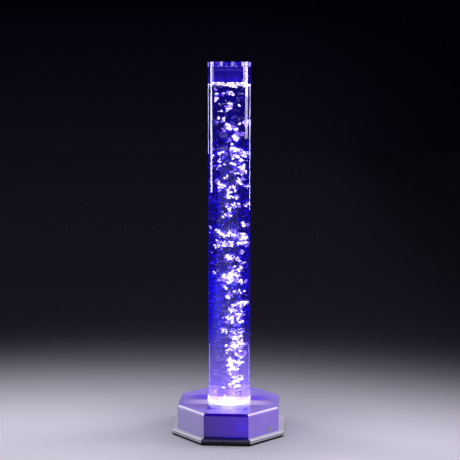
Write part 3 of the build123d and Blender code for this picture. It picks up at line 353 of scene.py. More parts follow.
rocker = Finish("polished_black_rocker", tint(30, 30, 34), 0.12, Coat_Weight=0.6)
rocker_low, rocker_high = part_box("power_rocker")
mark_inset = 4.5 * mm
mark_blur = 0.1 * mm
across = rocker.point("X") - (rocker_low.x + rocker_high.x) / 2
up = rocker.point("Z")
outward = rocker.facing("Y").over(0.5, 0.7)
from_dash = abs(up - (rocker_high.z - mark_inset))
dash = abs(across).within(-1.0, 0.35 * mm, mark_blur) * from_dash.within(-1.0, 1.7 * mm, mark_blur)
from_ring = up - (rocker_low.z + mark_inset)
ring = ((across * across + from_ring * from_ring) ** 0.5).within(1.1 * mm, 1.7 * mm, mark_blur)
marks = (dash + ring) * outward
rocker.set(Base_Color=rocker.mix(marks, tint(30, 30, 34), tint(232, 232, 228)))
rocker.set(Roughness=0.1 + rocker.noise(700.0) * 0.1).bump(marks, -0.05 * mm)
dress(rocker, "power_rocker")

# Colour button
# A round button of grey translucent plastic in the right front corner face. It is pushed in
# against a small switch on a steel strip that stands on the plate.

button = moulded("grey_button", tint(150, 144, 176), 0.4, 900.0, 0.04 * mm)
dress(button, "colour_button")
dress(black_moulding, "button_plunger")
dress(chip_moulding, "button_switch")
dress(zinc_steel, "button_bracket")

# Remote eye
# A dark infrared filter rod in the plate's front edge, with the receiver behind it in a pocket
# of the plate.

eye = Finish("dark_infrared_filter", tint(4, 3, 8), 0.1, Specular_IOR_Level=0.2)
eye.set(Base_Color=eye.mix(eye.noise(500.0), tint(3, 2, 6), tint(14, 6, 22)))
dress(eye, "remote_eye")
dress(chip_moulding, "remote_receiver")

# Leads
# Sheathed leads from the control board to the pump, the lights, the battery, the switch, the
# inlet, the button and the eye, each soldered or plugged at its ends.

sheath = moulded("lead_sheath", tint(58, 58, 62), 0.4, 800.0, 0.02 * mm)
dress(sheath, "wiring_leads")

# Housing
# A glossy violet moulding with eight sides and a bevelled top. Its front and rear faces are painted
# a deep blue violet as painted shade, and its other faces and top a paler one as painted light, with
# the light of the tube on the top.

housing_low, housing_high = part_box("base_housing")
bevel = 5 * mm
bevel_foot = housing_high.z - bevel

shell = Finish("glossy_violet", tint(120, 96, 200), 0.1, Coat_Weight=0.4, Coat_Roughness=0.03)
x = shell.point("X")
y = shell.point("Y")
z = shell.point("Z")
up = shell.facing("Z")
facing_side = abs(shell.facing("X"))
facing_front = abs(shell.facing("Y"))
cloud = shell.noise(18.0, 3.0)
fine = shell.noise(700.0)
# Front and rear faces, in painted shade: darker on the left and towards the foot, with a painted
# glint on the right
front = shell.mix(x.over(-60 * mm, 50 * mm), tint(70, 36, 151), tint(80, 26, 219))
painted_glint = (1 - abs(x - 37 * mm).over(4 * mm, 20 * mm)) * z.within(38 * mm, 44 * mm, 12 * mm)
front = shell.mix(painted_glint * 0.7, front, tint(78, 44, 250))
front_foot = shell.mix(x.over(-50 * mm, 30 * mm), tint(34, 10, 96), tint(32, 0, 184))
front = shell.mix(z.over(housing_low.z + 1 * mm, housing_low.z + 9 * mm), front_foot, front)
# The other faces, in painted light: greyer on the left and more violet on the right, with a
# cloudy tone
side = shell.mix(x.over(-20 * mm, 20 * mm), tint(153, 141, 194), tint(142, 115, 222))
side = shell.mix(cloud.over(0.4, 0.7) * 0.35, side, tint(160, 142, 210))
wall = shell.mix(facing_front.over(0.8, 0.9), side, front)
# The bevel, with a painted highlight along it, darker on the left and right faces, and a dark
# line under it on the front and rear
bevel_highlight = z.within(housing_high.z - bevel * 0.60, housing_high.z - bevel * 0.28, 0.3 * mm)
highlit_bevel = shell.mix(bevel_highlight, side, tint(232, 224, 244))
bevel_colour = shell.mix(facing_side.over(0.55, 0.65), highlit_bevel, tint(108, 88, 172))
on_bevel = z.over(bevel_foot, bevel_foot + bevel * 0.1)
wall = shell.mix(on_bevel, wall, bevel_colour)
on_front = facing_front.over(0.55, 0.65) * (1 - facing_side.over(0.2, 0.3))
over_front = z.over(bevel_foot - bevel * 0.35, bevel_foot - bevel * 0.2) * on_front
wall = shell.mix(over_front, wall, tint(44, 14, 148))
# The top, with bands that the lit tube and the room are mirrored in
spread = 1 - abs(x).over(60 * mm, 118 * mm)
light_band = y.within(-34 * mm, -12 * mm, 12 * mm) * spread
dark_band = y.within(6 * mm, 30 * mm, 12 * mm) * spread
near_band = y.within(-80 * mm, -58 * mm, 10 * mm) * abs(x).within(20 * mm, 42 * mm, 10 * mm)
on_top = up.over(0.85, 0.95)
top = shell.mix(cloud.over(0.3, 0.7), tint(145, 127, 212), tint(157, 136, 228))
top = shell.mix(dark_band * 0.8, top, tint(120, 88, 255))
top = shell.mix(near_band * 0.9, top, tint(72, 44, 210))
top = shell.mix(light_band * 0.85, top, tint(222, 196, 255))
# The reflection of the bubbles lies in front of the collar
from_spot = ((x - 7 * mm) ** 2.0 + (y + 62 * mm) ** 2.0) ** 0.5
thrown = shell.noise(210.0).over(0.46, 0.58) * (1 - from_spot.over(4 * mm, 27 * mm))
top = shell.mix(thrown * 0.8, top, tint(240, 228, 255))
dull = on_bevel * (1 - on_top) * (1 - on_front)
shell.set(Base_Color=shell.mix(on_top, wall, top))
shell.set(Roughness=0.04 + fine * 0.05 + dull * 0.5, Coat_Weight=0.4 - dull * 0.4)
shell.bump(fine, 0.002 * mm)
dress(shell, "base_housing")

# Collar
# An opal ring seated in the housing's top round the tube's foot. Light from the board below
# comes up inside it, and it glows white with a breath of pink.

collar_low, collar_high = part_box("glow_collar")
opal = Finish("lit_opal", tint(176, 164, 186), 0.3)
warm = opal.noise(60.0, 2.0)
level = opal.point("Z")
# Painted highlights along the ring's top rim and its foot
rims = level.over(collar_high.z - 1.4 * mm, collar_high.z - 0.8 * mm)
rims = rims + (1 - level.over(housing_high.z + 2.6 * mm, housing_high.z + 5.0 * mm))
opal_glow = opal.mix(warm.over(0.35, 0.7), (0.86, 0.82, 0.88), (0.94, 0.83, 0.88))
opal_glow = opal.mix(rims, opal_glow, (1.0, 0.99, 1.0))
# The glow is painted dimmer and violet at the ring's right end
right_end = opal.point("X").over(collar_high.x - 4 * mm, collar_high.x - 1.5 * mm)
opal_glow = opal.mix(right_end, opal_glow, (0.34, 0.26, 0.74))
opal.set(Emission_Color=opal_glow, Emission_Strength=0.9, Roughness=0.25 + warm * 0.1)
dress(opal, "glow_collar")

# Floor plug
# A solid clear acrylic plug, sealed in the tube's foot by two rubber rings. It passes the light up
# from the diodes, and it is brightest at the level of the collar.

plug_low, plug_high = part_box("tube_floor_plug")
plug_radius = plug_high.x
clear_plug = Finish("clear_plug", tint(232, 226, 255), 0.0, Transmission_Weight=1.0, IOR=1.49)
level = clear_plug.point("Z")
arch = abs(clear_plug.point("Y")) * 0.24
fading = (level - arch).over(housing_high.z + 8 * mm, housing_high.z + 11 * mm)
to_right = clear_plug.point("X").over(0.0, 30 * mm)
side_glow = clear_plug.mix(to_right, (0.26, 0.23, 0.70), (0.22, 0.20, 0.66))
plug_glow = clear_plug.mix(fading, (2.15, 2.2, 2.3), side_glow)
plug_glow = clear_plug.mix(level.over(plug_high.z - 1 * mm, plug_high.z), plug_glow, (0.10, 0.07, 0.30))
clear_plug.set(Emission_Color=plug_glow, Emission_Strength=0.36)
dress(clear_plug, "tube_floor_plug")

seal_rubber = moulded("seal_rubber", tint(34, 34, 38), 0.5, 1500.0, 0.02 * mm)
dress(seal_rubber, "plug_seals")

# Air stone
# A domed stone of sintered grains in the plug's well. Air from the pump comes out all over its
# top, and it stands in the full light of the diodes.

stone = Finish("sintered_stone", tint(232, 232, 240), 0.9)
grains = stone.noise(1100.0, 3.0)
stone.set(Base_Color=stone.mix(grains, tint(190, 190, 206), tint(246, 246, 250)))
# The stone's glow is painted, with a painted sparkle of light, none at its left
painted_sparkle = stone.noise(160.0).over(0.34, 0.50) * stone.point("X").over(-12 * mm, -6 * mm)
stone.set(Emission_Color=stone.mix(painted_sparkle, (0.20, 0.16, 0.36), (1.0, 1.0, 1.0)), Emission_Strength=7.0)
stone.bump(grains, 0.3 * mm)
dress(stone, "air_stone")

# Tube
# A length of cast acrylic pipe, 100 mm outside and 5 mm thick, polished, with its rims eased. It
# carries the diodes' light up its wall, which shows as a blue glow above the water.


def put(name, bm, finish, body, smooth=30.0):
    """Makes an object of bm, smooth but for its sharp edges, that rides on a body."""
    bmesh.ops.recalc_face_normals(bm, faces=bm.faces)
    for face in bm.faces:
        face.smooth = True
    for edge in bm.edges:
        edge.smooth = edge.calc_face_angle(pi) < radians(smooth)
    mesh = bpy.data.meshes.new(name)
    bm.to_mesh(mesh)
    bm.free()
    mesh.materials.append(finish.material)
    piece = bpy.data.objects.new(name, mesh)
    bpy.context.scene.collection.objects.link(piece)
    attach(piece, body)
    return piece


def lathe(outline, sides=192):
    """Turns an outline of (radius, height) about the tube's axis, closed where it doesn't end there."""
    bm = bmesh.new()
    turns = [tau * side / sides for side in range(sides)]
    rings = []
    for radius, level in outline:
        if radius == 0:
            rings.append([bm.verts.new((0.0, 0.0, level))] * sides)
        else:
            places = [(radius * cos(turn), radius * sin(turn), level) for turn in turns]
            rings.append([bm.verts.new(place) for place in places])
    pairs = list(zip(rings, rings[1:]))
    if outline[0][0] > 0:
        pairs.append((rings[-1], rings[0]))
    for low, high in pairs:
        for side in range(sides):
            after = (side + 1) % sides
            corners = list(dict.fromkeys([low[side], low[after], high[after], high[side]]))
            bm.faces.new(corners)
    return bm


tube_low, tube_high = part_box("tube")
tube_radius = tube_high.x
tube_wall = 5 * mm
bore_radius = tube_radius - tube_wall
rim_ease = 0.6 * mm
water_level = 829 * mm

acrylic = Finish("cast_acrylic", tint(247, 247, 255), 0.0, Transmission_Weight=1.0, IOR=1.49)
level = acrylic.point("Z")
# The blue glow above the water is painted, in soft clouds drawn out upwards
glow_clouds = acrylic.noise(70.0, 3.0, (1.0, 1.0, 0.22))
near_water = 1 - level.over(water_level + 6 * mm, tube_high.z - 16 * mm) * 0.88
air_glow = acrylic.mix(glow_clouds.over(0.40, 0.70) * near_water, (0.003, 0.001, 0.05), (0.009, 0.004, 0.26))
above_water = level.over(water_level - 1 * mm, water_level + 2 * mm)
acrylic.set(Emission_Color=acrylic.mix(above_water, (0.0, 0.0, 0.0), air_glow), Emission_Strength=1.0)

pipe_outline = [
    (bore_radius, tube_low.z),
    (tube_radius, tube_low.z),
    (tube_radius, tube_high.z - rim_ease),
    (tube_radius - rim_ease, tube_high.z),
    (bore_radius + rim_ease, tube_high.z),
    (bore_radius, tube_high.z - rim_ease),
]
pipe = put("acrylic_pipe", lathe(pipe_outline), acrylic, "base")
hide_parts("tube")

# Water
# Still water stands on the plug and fills the well round the air stone. It is lit violet near
# the diodes and a dark blue higher up, where drifts of fine bubbles glow.
# Its skin is laid a tenth of a millimetre into the acrylic, which it wets.

wetting = 0.1 * mm
meniscus = 1.6 * mm
well_radius = 19 * mm
well_floor = plug_high.z - 30 * mm
seal_line = plug_high.z - 40 * mm

lit_water = Finish("lit_water", tint(188, 170, 251), 0.0, Transmission_Weight=1.0, IOR=1.33)
level = lit_water.point("Z")
x = lit_water.point("X")
wisps = lit_water.noise(34.0, 4.0, (1.0, 1.0, 0.8))
speckle = lit_water.noise(210.0, 3.0)
low_right = x.over(18 * mm, 34 * mm) * level.over(plug_high.z - 2 * mm, plug_high.z + 4 * mm)
low_light = lit_water.mix(low_right, (0.096, 0.056, 0.46), (0.27, 0.18, 0.80))
dark_water = lit_water.mix(level.over(120 * mm, 270 * mm), low_light, (0.006, 0.003, 0.105))
blue_water = lit_water.mix(level.over(120 * mm, 240 * mm), (0.12, 0.06, 0.60), (0.004, 0.0, 0.66))
lit_wisps = wisps.over(0.50, 0.66) * (0.30 + 0.70 * level.within(250 * mm, 380 * mm, 50 * mm))
blue_cloud = level.within(230 * mm, 370 * mm, 40 * mm) * (1 - x.over(-30 * mm, 5 * mm))
blue_share = (lit_wisps + blue_cloud * 0.75) * (0.35 + speckle.over(0.40, 0.60) * 0.9)
lit_water.set(Emission_Color=lit_water.mix(blue_share, dark_water, blue_water), Emission_Strength=0.5)

water_outline = [
    (0.0, well_floor - wetting),
    (well_radius + wetting, well_floor - wetting),
    (well_radius + wetting, plug_high.z - wetting),
    (plug_radius - wetting, plug_high.z - wetting),
    (plug_radius - wetting, seal_line),
    (bore_radius + wetting, seal_line),
    (bore_radius + wetting, water_level + meniscus),
    (bore_radius - meniscus / 4, water_level + meniscus / 3),
    (bore_radius - meniscus, water_level),
    (0.0, water_level),
]
put("water", lathe(water_outline), lit_water, "base")

# Bubbles
# Air from the stone climbs in a swaying column. The larger bubbles are flattened and torn, and
# run together into ragged strings; smaller ones drift off to the sides. They are white where the
# light strikes them full, and violet and blue where it doesn't.

ball = bmesh.new()
bmesh.ops.create_icosphere(ball, subdivisions=2, radius=1.0)
ball_points = [vert.co.copy() for vert in ball.verts]
ball_corners = [[vert.index for vert in face.verts] for face in ball.faces]
ball.free()
dice = random.Random(5)


def torn_ball(bm, centre, size):
    """A torn, flattened bubble: a ball squeezed along one axis and pushed about by noise."""
    turn = Euler((dice.uniform(-0.9, 0.9), dice.uniform(-0.9, 0.9), dice.uniform(0, tau))).to_matrix()
    shape = [size * dice.uniform(*span) for span in ((0.9, 1.35), (0.7, 1.0), (0.45, 0.85))]
    seed = Vector((dice.uniform(0, 50), dice.uniform(0, 50), dice.uniform(0, 50)))
    verts = []
    for point in ball_points:
        push = 1.0 + 0.5 * noise.noise(point * 1.5 + seed)
        squeezed = Vector([point[axis] * shape[axis] for axis in range(3)])
        verts.append(bm.verts.new(turn @ (squeezed * push) + centre))
    for corners in ball_corners:
        bm.faces.new([verts[corner] for corner in corners])


def kept_inside(point, margin):
    """The point, moved towards the axis until it is clear of the bore, or of the well's side."""
    reach = sqrt(point.x * point.x + point.y * point.y)
    room = bore_radius if point.z > plug_high.z + margin else well_radius
    share = min(1.0, (room - margin) / max(reach, mm))
    return Vector((point.x * share, point.y * share, point.z))


# Each kind's glow where it is bright and where it is dim, and its strength
bubble_light = {
    "white": ((0.95, 1.0, 0.94), (0.40, 0.30, 1.0), 2.4),
    "lavender": ((0.58, 0.41, 1.0), (0.16, 0.08, 1.0), 1.0),
    "violet": ((0.09, 0.04, 0.95), (0.03, 0.01, 0.70), 0.9),
    "blue": ((0.008, 0.0, 0.70), (0.002, 0.0, 0.36), 0.9),
}
bubble_finish = {}
for name, (bright, dim, strength) in bubble_light.items():
    finish = Finish(f"bubble_{name}", scaled(bright, 0.3), 0.25, Specular_IOR_Level=0.2)
    patch = finish.noise(380.0, 2.0)
    glow = finish.mix(patch.over(0.36, 0.54), dim, bright)
    bubble_finish[name] = finish.set(Emission_Color=glow, Emission_Strength=strength)

# Clumps of bubbles in the column, in millimetres: x and z of the middle, how wide and how high the
# clump is, how full it is of strings of bubbles and how thick they are. They were gathered by hand
# from a draft's list of strings, read off the photograph and traced into the water by a program
clumps = [
    (3, 807, 24, 6, 4, 4), (-23, 796, 8, 26, 4, 4), (9, 780, 26, 8, 4, 4), (0, 773, 8, 14, 2, 5),
    (-8, 765, 14, 6, 2, 4), (-16, 745, 14, 14, 4, 4), (4, 727, 18, 12, 4, 7), (14, 705, 14, 14, 4, 8),
    (6, 680, 8, 22, 3, 6), (22, 738, 16, 12, 2, 6), (29, 732, 10, 18, 2, 8), (15, 672, 14, 14, 4, 7),
    (-12, 666, 14, 10, 2, 5), (28, 664, 14, 10, 3, 6),
    (-29, 668, 4, 26, 2, 4), (-14, 644, 12, 22, 4, 5), (13, 652, 8, 26, 4, 8), (26, 628, 14, 16, 4, 8),
    (16, 622, 20, 8, 3, 4), (-5, 612, 8, 8, 2, 5), (20, 606, 10, 8, 2, 8), (31, 595, 8, 8, 2, 6),
    (-9, 594, 22, 18, 6, 6), (-2, 572, 8, 24, 4, 6), (11, 574, 6, 30, 4, 5), (20, 545, 32, 8, 6, 5),
    (-4, 530, 14, 22, 6, 5), (31, 501, 6, 10, 2, 7), (-28, 488, 12, 6, 2, 5), (-4, 480, 18, 14, 4, 9),
    (17, 470, 12, 16, 4, 8), (26, 459, 10, 14, 3, 8), (-5, 450, 22, 8, 5, 8), (-23, 452, 14, 16, 4, 4),
    (24, 434, 6, 6, 1, 6), (1, 417, 8, 12, 3, 10), (15, 418, 6, 6, 1, 7), (25, 414, 8, 16, 2, 5),
    (9, 392, 20, 8, 4, 6), (-29, 385, 8, 3, 1, 5), (3, 367, 14, 14, 6, 14), (-12, 369, 14, 6, 2, 7),
    (22, 361, 12, 18, 5, 6), (-8, 346, 10, 8, 2, 5), (16, 340, 24, 8, 3, 5), (-6, 326, 12, 10, 3, 6),
    (21, 308, 8, 16, 4, 9), (8, 294, 8, 22, 5, 8), (20, 282, 8, 16, 3, 6), (0, 276, 14, 22, 6, 7),
    (16, 266, 20, 8, 5, 6), (-6, 244, 16, 6, 4, 6), (12, 240, 20, 10, 6, 6), (10, 214, 10, 28, 8, 9),
    (22, 222, 10, 30, 6, 7), (0, 201, 16, 14, 5, 5), (20, 192, 12, 12, 4, 6), (4, 160, 8, 12, 2, 6),
    (12, 158, 8, 18, 4, 14), (20, 172, 8, 16, 3, 6), (3, 139, 6, 18, 3, 8), (8, 125, 6, 18, 3, 9),
    (18, 120, 8, 20, 4, 9), (6, 112, 14, 20, 5, 8), (4, 98, 12, 10, 5, 9), (4, 85, 16, 8, 4, 16),
]
# These two are in millimetres too
column_radius = 36.0
largest_bubble = 1.9
# The room that one bubble fills, in squares of its size
bubble_room = 1.35
fringe_chance = 0.55
# The least distance from a bubble's middle to the wall
wall_gap = 3 * mm
# Each kind has an upper and a lower heap, which meet where both have about as many bubbles
heap_meet = 350 * mm
heaps = {(name, upper): bmesh.new() for name in bubble_light for upper in (False, True)}


def blow(kind, centre, size):
    """Adds a bubble to the upper or the lower heap of its kind."""
    torn_ball(heaps[kind, centre.z > heap_meet], centre, size)


def strings_in(clump, share, spread):
    """Short strings that lean every way, strewn over a clump: near end, far end and thickness."""
    x, z, wide, high, fill, thick = clump
    deep = sqrt(column_radius ** 2 - x ** 2)
    strings = []
    for _ in range(round(fill * share)):
        near_x = x + dice.uniform(-0.5, 0.5) * wide * spread
        near_z = z + dice.uniform(-0.5, 0.5) * high * spread
        lean = dice.uniform(0, pi)
        reach = dice.uniform(0.4, 1.4) * thick
        near = Vector((near_x, dice.uniform(-0.9, 0.6) * deep, near_z))
        far = near + Vector((reach * cos(lean), 0.0, reach * sin(lean)))
        strings.append((near, far, thick * dice.uniform(0.7, 1.0)))
    return strings


def pour(strings, kinds):
    """Fills each string with bubbles of the first kind, and fringes it with the others."""
    for near, far, thick in strings:
        along = far - near
        across = Vector((-along.z, 0.0, along.x)).normalized()
        size = min(largest_bubble, 0.40 * thick)
        room = along.length * thick + 0.8 * thick * thick
        for _ in range(max(3, round(room / (size * size * bubble_room)))):
            spot = near + along * dice.uniform(-0.04, 1.04)
            spot += across * dice.uniform(-0.5, 0.5) * max(0.0, thick - 1.2 * size)
            spot += Vector((dice.gauss(0, 0.3), dice.gauss(0, 1.5), dice.gauss(0, 0.6)))
            radius = size * dice.uniform(0.65, 1.15)
            blow(kinds[0], kept_inside(spot * mm, wall_gap), radius * mm)
            if dice.random() < fringe_chance:
                spot += across * dice.choice((-1, 1)) * dice.uniform(0.3, 0.8) * thick
                spot += Vector((0.0, dice.uniform(1, 5), dice.uniform(-2, 2)))
                radius = size * dice.uniform(0.5, 0.9)
                kind = dice.choice(kinds[1:])
                blow(kind, kept_inside(spot * mm, wall_gap), radius * mm)


for clump in clumps:
    pour(strings_in(clump, 1.2, 1.0), ("white", "lavender", "violet", "violet"))
    pour(strings_in(clump, 0.6, 1.6), ("lavender", "lavender", "violet", "violet"))

# Drifts of small bubbles: how many, between which heights and which sizes in millimetres, and a
# power that is lower the closer they keep to the wall
drifts = {
    "white": (30, 250, 815, 0.7, 1.3, 0.6),
    "lavender": (70, 190, 815, 0.8, 1.5, 0.6),
    "violet": (300, 200, 815, 1.0, 2.2, 0.5),
    "blue": (760, 240, 700, 1.2, 3.2, 0.25),
}
for name, (count, low, high, small, large, spread) in drifts.items():
    for _ in range(count):
        turn = dice.uniform(0, tau)
        radius = bore_radius * dice.random() ** spread
        height = low + (high - low) * dice.random() ** 1.15
        centre = Vector((radius * cos(turn), radius * sin(turn), height * mm))
        blow(name, kept_inside(centre, wall_gap + 1 * mm), dice.uniform(small, large) * mm)
for (name, upper), heap in heaps.items():
    place = "upper" if upper else "lower"
    put(f"{place}_bubbles_{name}", heap, bubble_finish[name], "base", smooth=180.0)

# Froth
# Bubbles that have reached the top lie there for a moment, in an uneven raft that is thickest
# against the pipe.

# Lumps in the raft, in millimetres: how far across, how wide, and how far above and below the water
raft_lumps = [
    (-40, 12, 3, 2), (-29, 14, 5, 2), (-20, 8, 5, 2), (-14, 4, 1, 0), (-7, 10, 2, 4), (3, 14, 4, 4),
    (7, 10, 5, 9), (15, 8, 1, 2), (25, 14, 4, 4), (35, 12, 5, 7),
]
raft = bmesh.new()
for middle, wide, above, below in raft_lumps:
    for _ in range(max(10, wide * (above + below) // 3)):
        across = (middle + dice.uniform(-0.5, 0.5) * wide) * mm
        deep = sqrt(max(0.0, (bore_radius - wall_gap) ** 2 - across * across))
        spot = Vector((across, dice.uniform(-1, 1) * deep, water_level))
        spot.z += dice.uniform(1.2 - below, above - 1.2) * mm if above + below > 3 else 0.0
        torn_ball(raft, kept_inside(spot, wall_gap + 0.6 * mm), dice.uniform(1.2, 2.2) * mm)
foam = Finish("froth", (0.3, 0.29, 0.3), 0.25)
lit_patch = foam.noise(320.0, 2.0).over(0.34, 0.54)
foam.set(Emission_Color=foam.mix(lit_patch, (0.34, 0.26, 0.90), (1.0, 0.98, 1.0)))
foam.set(Emission_Strength=2.1)
put("froth", raft, foam, "base", smooth=180.0)

# Cap
# A clear acrylic cap whose spigot and rubber ring sit in the tube's end. Polished lands round its
# rim catch the light that comes up the wall, and six holes in its top let the air out.

cap_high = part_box("tube_cap")[1]
cap_clear = Finish("clear_cap", tint(240, 240, 255), 0.0, Transmission_Weight=1.0, IOR=1.49)
level = cap_clear.point("Z")
reach = cap_clear.reach()
# A faint cloudy glow is painted in the cap, and a painted blue glow and blue tint lie in a band round
# its rim
faint_glow = cap_clear.noise(45.0, 3.0)
rim = level.over(tube_high.z - 1 * mm, tube_high.z + 1 * mm)
land = reach.over(tube_radius - 0.55 * mm, tube_radius - 0.25 * mm) * rim
# Painted highlights on the lands, dimmer on those that face front and back, and a painted highlight line
# round the cap's side near its top
land_light = 0.5 + abs(cap_clear.point("X")).over(8 * mm, 16 * mm) * 0.5
near_edge = reach.over(tube_radius - 2 * mm, tube_radius - 1 * mm)
waist = level.within(cap_high.z - 5.2 * mm, cap_high.z - 4.4 * mm, 0.5 * mm) * near_edge
cap_glow = cap_clear.mix(faint_glow.over(0.4, 0.65), (0.0002, 0.0, 0.004), (0.0006, 0.0001, 0.014))
rim_band = rim * reach.over(tube_radius - 6 * mm, tube_radius - 3 * mm)
cap_glow = cap_clear.mix(rim_band, cap_glow, (0.001, 0.0, 0.15))
cap_glow = cap_clear.mix(waist, cap_glow, (0.02, 0.015, 0.16))
cap_glow = cap_clear.mix(land * land_light, cap_glow, (0.42, 0.32, 0.80))
cap_clear.set(Base_Color=cap_clear.mix(rim_band * (1 - land), tint(240, 240, 255), tint(62, 50, 222)))
cap_clear.set(Emission_Color=cap_glow, Emission_Strength=1.0)
dress(cap_clear, "tube_cap")
clear_seal = Finish("clear_seal", tint(170, 160, 255), 0.3, Transmission_Weight=1.0, IOR=1.42)
seal_glow = clear_seal.mix(clear_seal.noise(90.0), (0.0, 0.0, 0.004), (0.001, 0.0, 0.02))
clear_seal.set(Emission_Color=seal_glow, Emission_Strength=1.0)
dress(clear_seal, "cap_seal")

# Camera, floor and light
# The lamp stands on a plain pale floor that falls away into a dark room. Soft boxes light it from
# its sides and from above, and lamps that are only mirrored draw the light lines on the tube.

camera_data = bpy.data.cameras.new("camera")
camera_data.lens = 83.43
camera_data.sensor_width = 36.0
camera_data.shift_x = 0.0015
camera = bpy.data.objects.new("camera", camera_data)
camera_turn = radians(3.65)
camera_tilt = radians(82.57)
camera_distance = 2.510
camera_height = 0.8132
camera_x = camera_distance * sin(camera_turn)
camera_y = -camera_distance * cos(camera_turn)
camera.location = (camera_x, camera_y, camera_height)
camera.rotation_euler = (camera_tilt, 0.0, camera_turn)
bpy.context.scene.collection.objects.link(camera)
bpy.context.scene.camera = camera
bpy.context.scene.view_settings.view_transform = "Standard"

pale_floor = Finish("pale_floor", tint(190, 188, 203), 0.9, Specular_IOR_Level=0.0)
x = pale_floor.point("X")
y = pale_floor.point("Y")
# The pool of light round the lamp falls off like a bell curve towards the back, in metres
pool_start = -0.20
pool_width = 0.60
floor_radius = 12.0
reach = y + 0.07 * x + 0.20 * x * x
out = reach.maths("MAXIMUM", (reach - pool_start) * (1 / pool_width), 0.0)
pool = out.maths("EXPONENT", out ** 2.2 * -1.0)
floor_colour = pale_floor.mix(pool, tint(31, 29, 37), tint(186, 184, 197))
floor_colour = pale_floor.mix(reach.over(2.6, floor_radius), floor_colour, tint(27, 25, 34))
# Painted shade: the floor is darker to the right, more so further back
darker = x.over(0.2, 1.3) * (0.14 + reach.over(0.4, 1.5) * 0.38)
floor_colour = pale_floor.mix(darker, floor_colour, (0.0, 0.0, 0.0))
# A painted soft shadow round the base
base_shadow = 1 - pale_floor.reach().over(0.10, 0.46)
floor_colour = pale_floor.mix(base_shadow * 0.22, floor_colour, tint(60, 58, 72))
# No light reaches the floor under the plate
aside = abs(x)
ahead = abs(y)
shaded = (1 - aside.over(129 * mm, 134 * mm)) * (1 - ahead.over(130 * mm, 137 * mm))
shaded = shaded * (1 - (aside + ahead).over(185 * mm, 193 * mm))
floor_colour = pale_floor.mix(shaded, floor_colour, (0.0, 0.0, 0.0))
# Seen through the tube, the floor at its sides is darker
through = pale_floor.node("ShaderNodeLightPath", {}, {}, "Is Transmission Ray") * aside.over(0.12, 0.45)
floor_colour = pale_floor.mix(through * 0.9, floor_colour, tint(20, 18, 40))
pale_floor.set(Base_Color=floor_colour)
floor_bm = bmesh.new()
bmesh.ops.create_circle(floor_bm, cap_ends=True, segments=64, radius=floor_radius)
floor_mesh = bpy.data.meshes.new("floor")
floor_bm.to_mesh(floor_mesh)
floor_bm.free()
floor_mesh.materials.append(pale_floor.material)
floor = bpy.data.objects.new("floor", floor_mesh)
bpy.context.scene.collection.objects.link(floor)

room = bpy.data.worlds.new("dark_room")
bpy.context.scene.world = room
room.use_nodes = True
air = Shading(room.node_tree)
ambient = air.node("ShaderNodeBackground", {}, {"Color": (0.97, 0.97, 1.0), "Strength": 0.7})
direction = air.node("ShaderNodeTexCoord", {}, {}, "Generated")
height = air.node("ShaderNodeSeparateXYZ", {}, {0: direction}, "Z")
sideways = air.node("ShaderNodeSeparateXYZ", {}, {0: direction}, "X")
climb = air.node("ShaderNodeMapRange", {}, {"Value": height, "From Min": -0.056, "From Max": 0.085})
shade = air.mix(climb, (0.0048, 0.0040, 0.0080), (0.0008, 0.0004, 0.0024))
shade = air.mix(sideways.over(-0.06, 0.18) * 0.8, shade, (0.0004, 0.0001, 0.0012))
dark = air.node("ShaderNodeBackground", {}, {"Color": shade, "Strength": 1.0})
seen = air.node("ShaderNodeLightPath", {}, {}, "Is Camera Ray")
for ray in ("Is Glossy Ray", "Is Transmission Ray"):
    seen = seen.maths("MAXIMUM", seen, air.node("ShaderNodeLightPath", {}, {}, ray))
chosen = air.node("ShaderNodeMixShader", {}, {0: seen, 1: ambient, 2: dark})
air.feed(room.node_tree.nodes["World Output"].inputs[0], chosen)


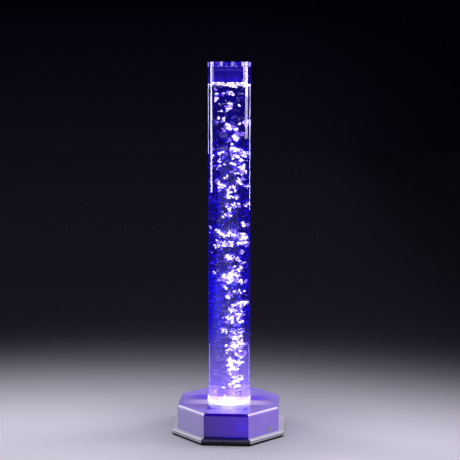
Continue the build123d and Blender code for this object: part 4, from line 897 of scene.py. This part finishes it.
def soft_box(name, place, aim, width, height, power, colour, mirrored=False):
    """A rectangular lamp that faces the tube's axis at the height aim. A mirrored one lights nothing."""
    lamp = bpy.data.lights.new(name, "AREA")
    lamp.shape = "RECTANGLE"
    lamp.size = width
    lamp.size_y = height
    lamp.energy = power
    lamp.color = colour
    holder = bpy.data.objects.new(name, lamp)
    holder.location = place
    holder.rotation_euler = (Vector((0, 0, aim)) - Vector(place)).to_track_quat("-Z", "Y").to_euler()
    holder.visible_camera = False
    holder.visible_transmission = False
    holder.visible_glossy = mirrored
    holder.visible_diffuse = not mirrored
    bpy.context.scene.collection.objects.link(holder)


white = (1.0, 1.0, 1.0)
pink = (1.0, 0.90, 0.97)
blue = (0.75, 0.78, 1.0)
violet = (0.72, 0.58, 1.0)
soft_box("left_box", (-1.145, 0.475, 0.95), 0.95, 0.21, 0.97, 8.5, white)
soft_box("left_gleam", (-1.145, 0.387, 0.95), 0.95, 0.36, 0.97, 10.5, white, mirrored=True)
soft_box("right_box", (1.25, 0.40, 1.10), 1.10, 0.52, 0.90, 17.0, pink)
soft_box("right_gleam", (1.18, 0.38, 1.10), 1.10, 0.52, 0.90, 10.0, pink, mirrored=True)
soft_box("right_top", (1.17, 0.37, 1.07), 1.07, 0.46, 0.55, 7.0, pink, mirrored=True)
soft_box("left_rim", (-0.70, 1.30, 0.71), 0.71, 0.10, 0.26, 0.85, blue, mirrored=True)
soft_box("right_rim", (0.70, 1.30, 0.604), 0.604, 0.10, 0.468, 2.6, blue, mirrored=True)
soft_box("left_air", (-1.198, 0.063, 0.894), 0.894, 0.29, 0.112, 0.5, violet, mirrored=True)
soft_box("right_air", (1.199, -0.046, 0.894), 0.894, 0.30, 0.112, 0.9, pink, mirrored=True)
soft_box("left_low", (-0.333, 0.303, 0.055), 0.055, 0.09, 0.11, 0.06, violet, mirrored=True)
soft_box("right_low", (0.292, 0.342, 0.055), 0.055, 0.09, 0.11, 0.06, violet, mirrored=True)
soft_box("left_fill", (-1.4, -0.9, 0.9), 0.1, 0.8, 0.8, 3.5, white)
soft_box("right_fill", (1.4, -0.9, 0.9), 0.1, 0.8, 0.8, 2.5, white)
soft_box("top_box", (0.0, 0.2, 2.6), 0.3, 1.8, 1.8, 10.0, white)
